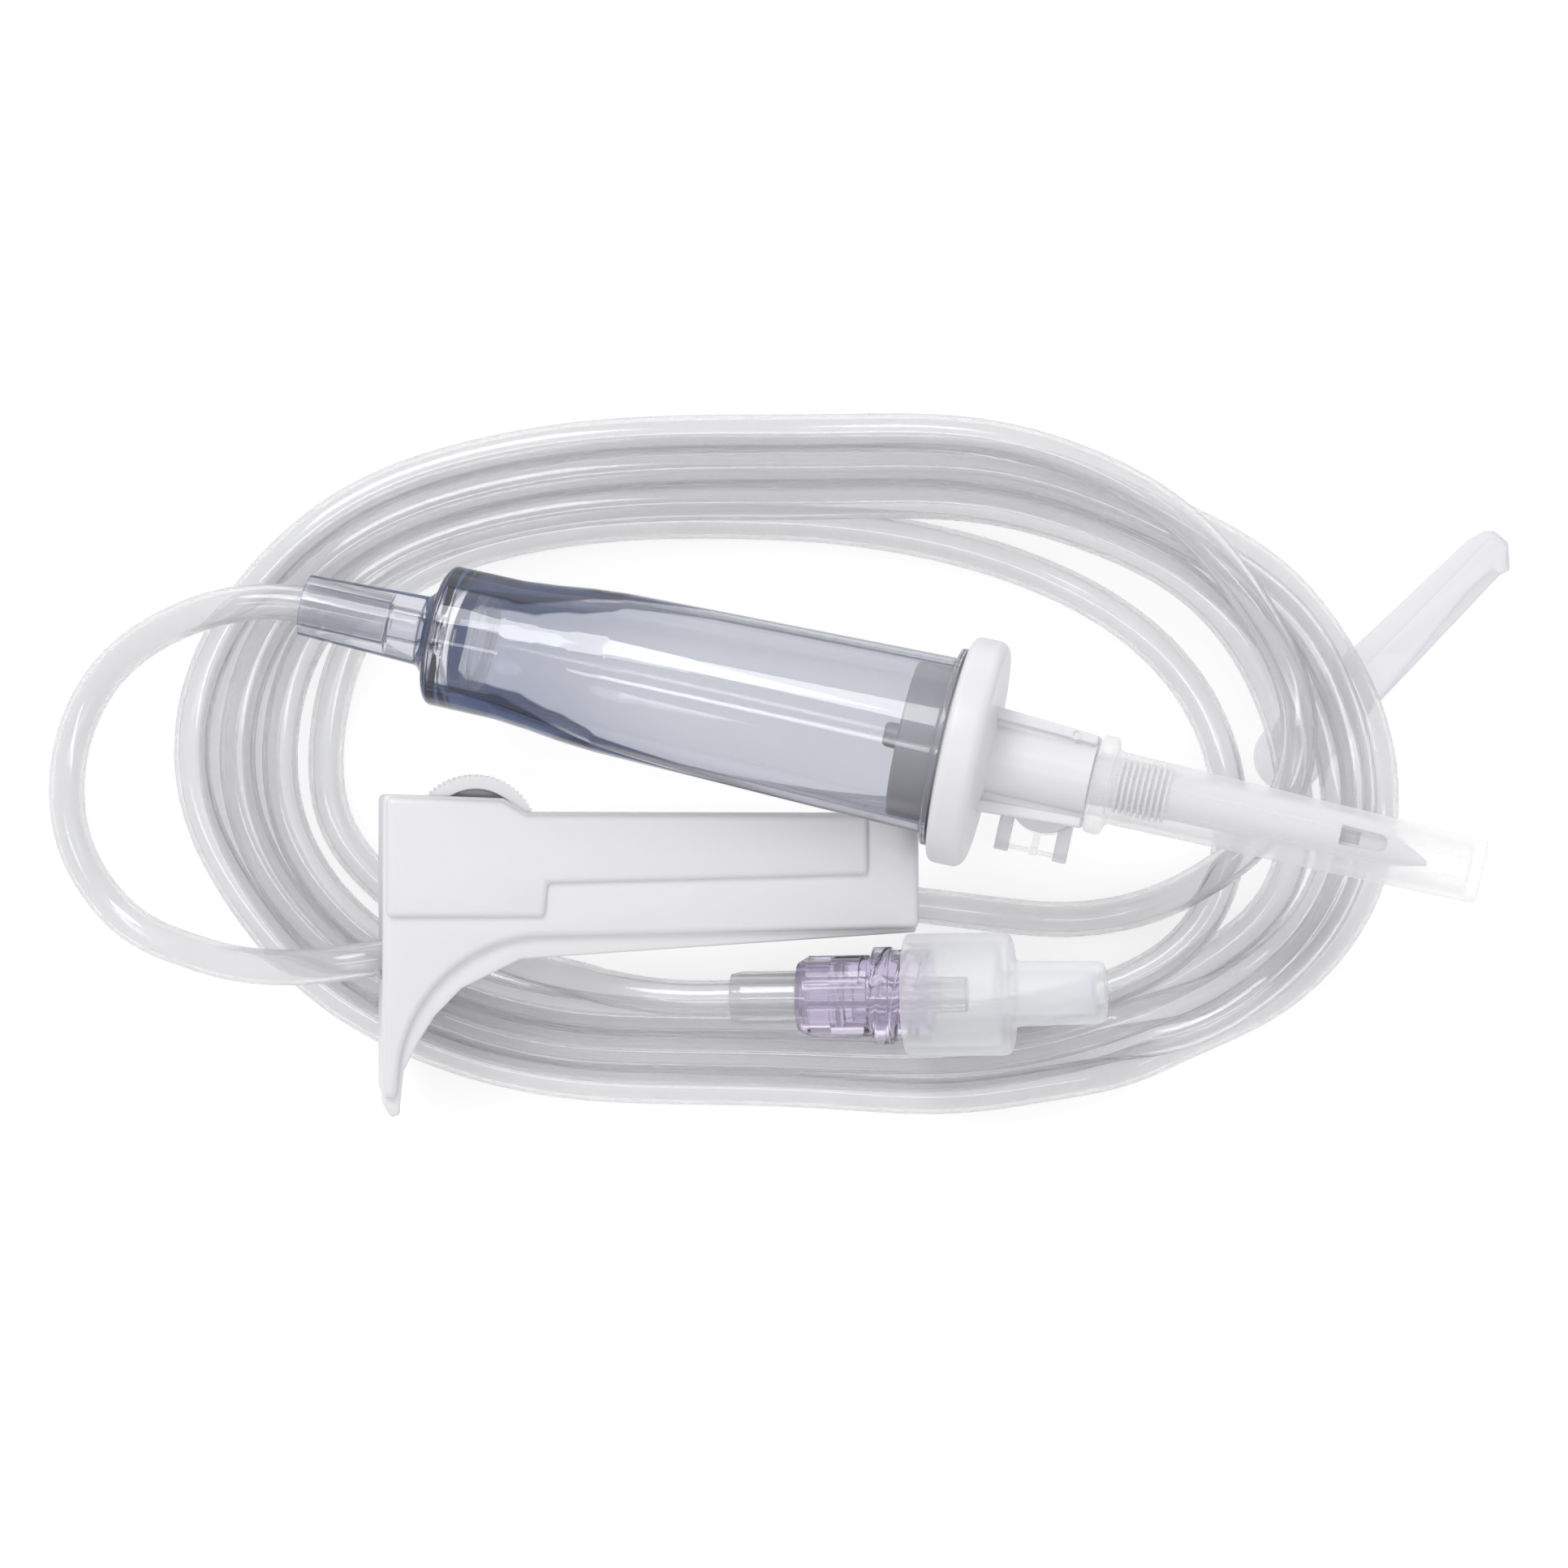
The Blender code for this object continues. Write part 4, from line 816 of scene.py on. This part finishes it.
connector_profile = np.concatenate([
    rounded([(0, 2.4), (0, 2.75), (0.9, 2.9), (1.3, 3.0), (12.0, 3.0), (12.0, 3.7), (13.2, 3.7), (13.2, 2.5),
             (17.5, 2.2), (27.0, 1.98), (27.0, 1.2)], 0.2, 3),
    [(9.0, 1.2), (9.0, 2.4)]])
connector_points, connector_faces = lathe(connector_profile)
connector = piece("luer_male", placed(connector_points, LUER_AXIS), connector_faces, luer_plastic, "set",
                  "luer_clear", 50)
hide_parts("luer_connector")


def collar_relief(x, r, a):
    """Grip ribs on the outside, r + 0.09 (1 + tanh(6 sin(n a))), and a two-start thread in the bore,
    r + 0.35 max(0, sin(2 a + 2 pi x / lead)), away from its ends."""
    ribs = (np.abs(r - RIBS_R) < 0.02) * 0.09 * (1 + np.tanh(6 * np.sin(RIB_COUNT * a)))
    groove = 0.35 * np.maximum(0, np.sin(2 * a + 2 * math.pi * x / THREAD_LEAD))
    return r + ribs + (np.abs(r - THREAD_R) < 0.02) * (x > THREAD_START) * groove


collar_outside = rounded([(7.7, 3.35), (7.7, 3.9), (8.6, 4.45), (8.9, 4.45), (9.0, RIBS_R), (15.9, RIBS_R),
                          (16.0, 4.45), (16.4, 4.45), (16.4, 5.55), (18.5, 5.55), (18.5, 5.2), (23.0, 5.2),
                          (23.0, THREAD_R)], 0.15, 3)
bore_x = np.linspace(22.8, 12.0, 60)
collar_bore = np.column_stack([bore_x, np.full(len(bore_x), THREAD_R)])
collar_inside = np.concatenate([collar_bore, [(11.6, THREAD_R), (11.6, 3.35)]])
collar_points, collar_faces = lathe(np.concatenate([collar_outside, collar_inside]), 120, collar_relief)
collar = piece("lock_collar", placed(collar_points, LUER_AXIS), collar_faces, violet_plastic, "luer_collar",
               "violet_clear", 40)
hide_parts("luer_collar")

luer_cap_profile = np.concatenate([
    rounded([(LUER_CAP_START, 5.9), (LUER_CAP_START, 6.975), (SHOULDER, 6.975), (SHOULDER, 3.75),
             (LUER_CAP_END, 3.5), (LUER_CAP_END, 1.3)], 1.1, 6),
    rounded([(LUER_CAP_END - 1.2, 1.3), (LUER_CAP_END - 1.2, 2.4), (SHOULDER - 1.6, 2.5),
             (SHOULDER - 1.6, 5.9)], 0.3, 3)])
luer_cap_points, luer_cap_faces = lathe(luer_cap_profile)
luer_cap = piece("vented_cap", placed(luer_cap_points, LUER_AXIS), luer_cap_faces, luer_cap_plastic,
                 "luer_cap", "frosted_cap", 40)
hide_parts("luer_cap")
recoated("luer_cap_membrane", filter_felt)


# Strip under the coil: a thin frosted moulding with a round foot and a hooked head. A low ridge runs
# along it, and the passes of tube lie across it.

STRIP_AXIS = axis((0, 0, 0), 0, 0)
strip_plastic = clear_plastic("strip_plastic", [(0.45, (0.91, 0.91, 0.94)), (1.0, (0.76, 0.76, 0.81))],
                              (0.76, 0.76, 0.80), milk=0.35, roughness=0.35, ior=1.3)
strip_outline = np.concatenate([[(65.1, 32.5), (66.7, 33.4), (67.8, 33.5), (69.5, 32.1), (69.7, 28.9),
                                 (68.7, 28.3), (67.7, 28.8), (66.7, 28.0), (65.1, 26.6)],
                                arc((44.3, 7.3), 4.15, -58, -220, 24)])
ridge_outline = [(46.6, 5.2), (69.0, 28.9), (69.2, 31.6), (67.4, 32.6), (44.9, 9.6)]
strip = built("strip", block(strip_outline, 0, 2.6, STRIP_AXIS, 0.3),
              [("UNION", block(ridge_outline, 1.0, 3.1, STRIP_AXIS, 0.25))], strip_plastic, "set")
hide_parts("clip")


# Surface and light: a white sweep, soft light from above and a surround that is white to the camera, a
# pale grey to mirrored light and faintly blue through clear walls.

FLOOR = 1.5

floor_mat, floor_tree, floor_out = new_material("paper")
paper = floor_tree.nodes.new("ShaderNodeBsdfDiffuse")
paper.inputs["Color"].default_value = (0.4, 0.4, 0.4, 1)
glow = floor_tree.nodes.new("ShaderNodeEmission")
glow.inputs["Strength"].default_value = 0.72
both = floor_tree.nodes.new("ShaderNodeAddShader")
floor_tree.links.new(paper.outputs["BSDF"], both.inputs[0])
floor_tree.links.new(glow.outputs["Emission"], both.inputs[1])
floor_tree.links.new(both.outputs["Shader"], floor_out.inputs["Surface"])
floor_mesh = bpy.data.meshes.new("floor")
floor_mesh.from_pydata([(-FLOOR, -FLOOR, 0), (FLOOR, -FLOOR, 0), (FLOOR, FLOOR, 0), (-FLOOR, FLOOR, 0)], [],
                       [(0, 1, 2, 3)])
floor_mesh.materials.append(floor_mat)
floor = bpy.data.objects.new("floor", floor_mesh)
scene.collection.objects.link(floor)

world = bpy.data.worlds.new("world")
scene.world = world
world.use_nodes = True
around = world.node_tree


def surround(shader, colour, strength):
    """Sets the colour and strength of one background."""
    shader.inputs["Color"].default_value = (*colour, 1)
    shader.inputs["Strength"].default_value = strength
    return shader


backdrop = surround(around.nodes["Background"], (1.0, 1.0, 1.0), 0.66)
seen = surround(around.nodes.new("ShaderNodeBackground"), (0.94, 0.95, 1.0), 0.95)
behind = surround(around.nodes.new("ShaderNodeBackground"), (1.0, 1.0, 1.0), 1.0)
ray = around.nodes.new("ShaderNodeLightPath")
through_clear = around.nodes.new("ShaderNodeMixShader")
around.links.new(ray.outputs["Is Transmission Ray"], through_clear.inputs["Fac"])
around.links.new(backdrop.outputs["Background"], through_clear.inputs[1])
around.links.new(seen.outputs["Background"], through_clear.inputs[2])
sky = around.nodes.new("ShaderNodeMixShader")
around.links.new(ray.outputs["Is Camera Ray"], sky.inputs["Fac"])
around.links.new(through_clear.outputs["Shader"], sky.inputs[1])
around.links.new(behind.outputs["Background"], sky.inputs[2])
around.links.new(sky.outputs["Shader"], around.nodes["World Output"].inputs["Surface"])

for name, place, size, width, energy in (("softbox", (-0.3, 0.6, 0.75), 0.4, 0.4, 3.4),
                                         ("strip_box", (0.0, -0.08, 0.95), 1.0, 0.08, 1.3)):
    lamp = bpy.data.lights.new(name, "AREA")
    lamp.shape = "RECTANGLE"
    lamp.size, lamp.size_y = size, width
    lamp.energy = energy
    box = bpy.data.objects.new(name, lamp)
    box.location = place
    box.rotation_euler = (-box.location).to_track_quat("-Z", "Y").to_euler()
    scene.collection.objects.link(box)

scene.view_settings.view_transform = "Standard"
scene.cycles.max_bounces = 32
scene.cycles.transmission_bounces = 32
scene.cycles.transparent_max_bounces = 96
scene.cycles.caustics_reflective = False
scene.cycles.caustics_refractive = False
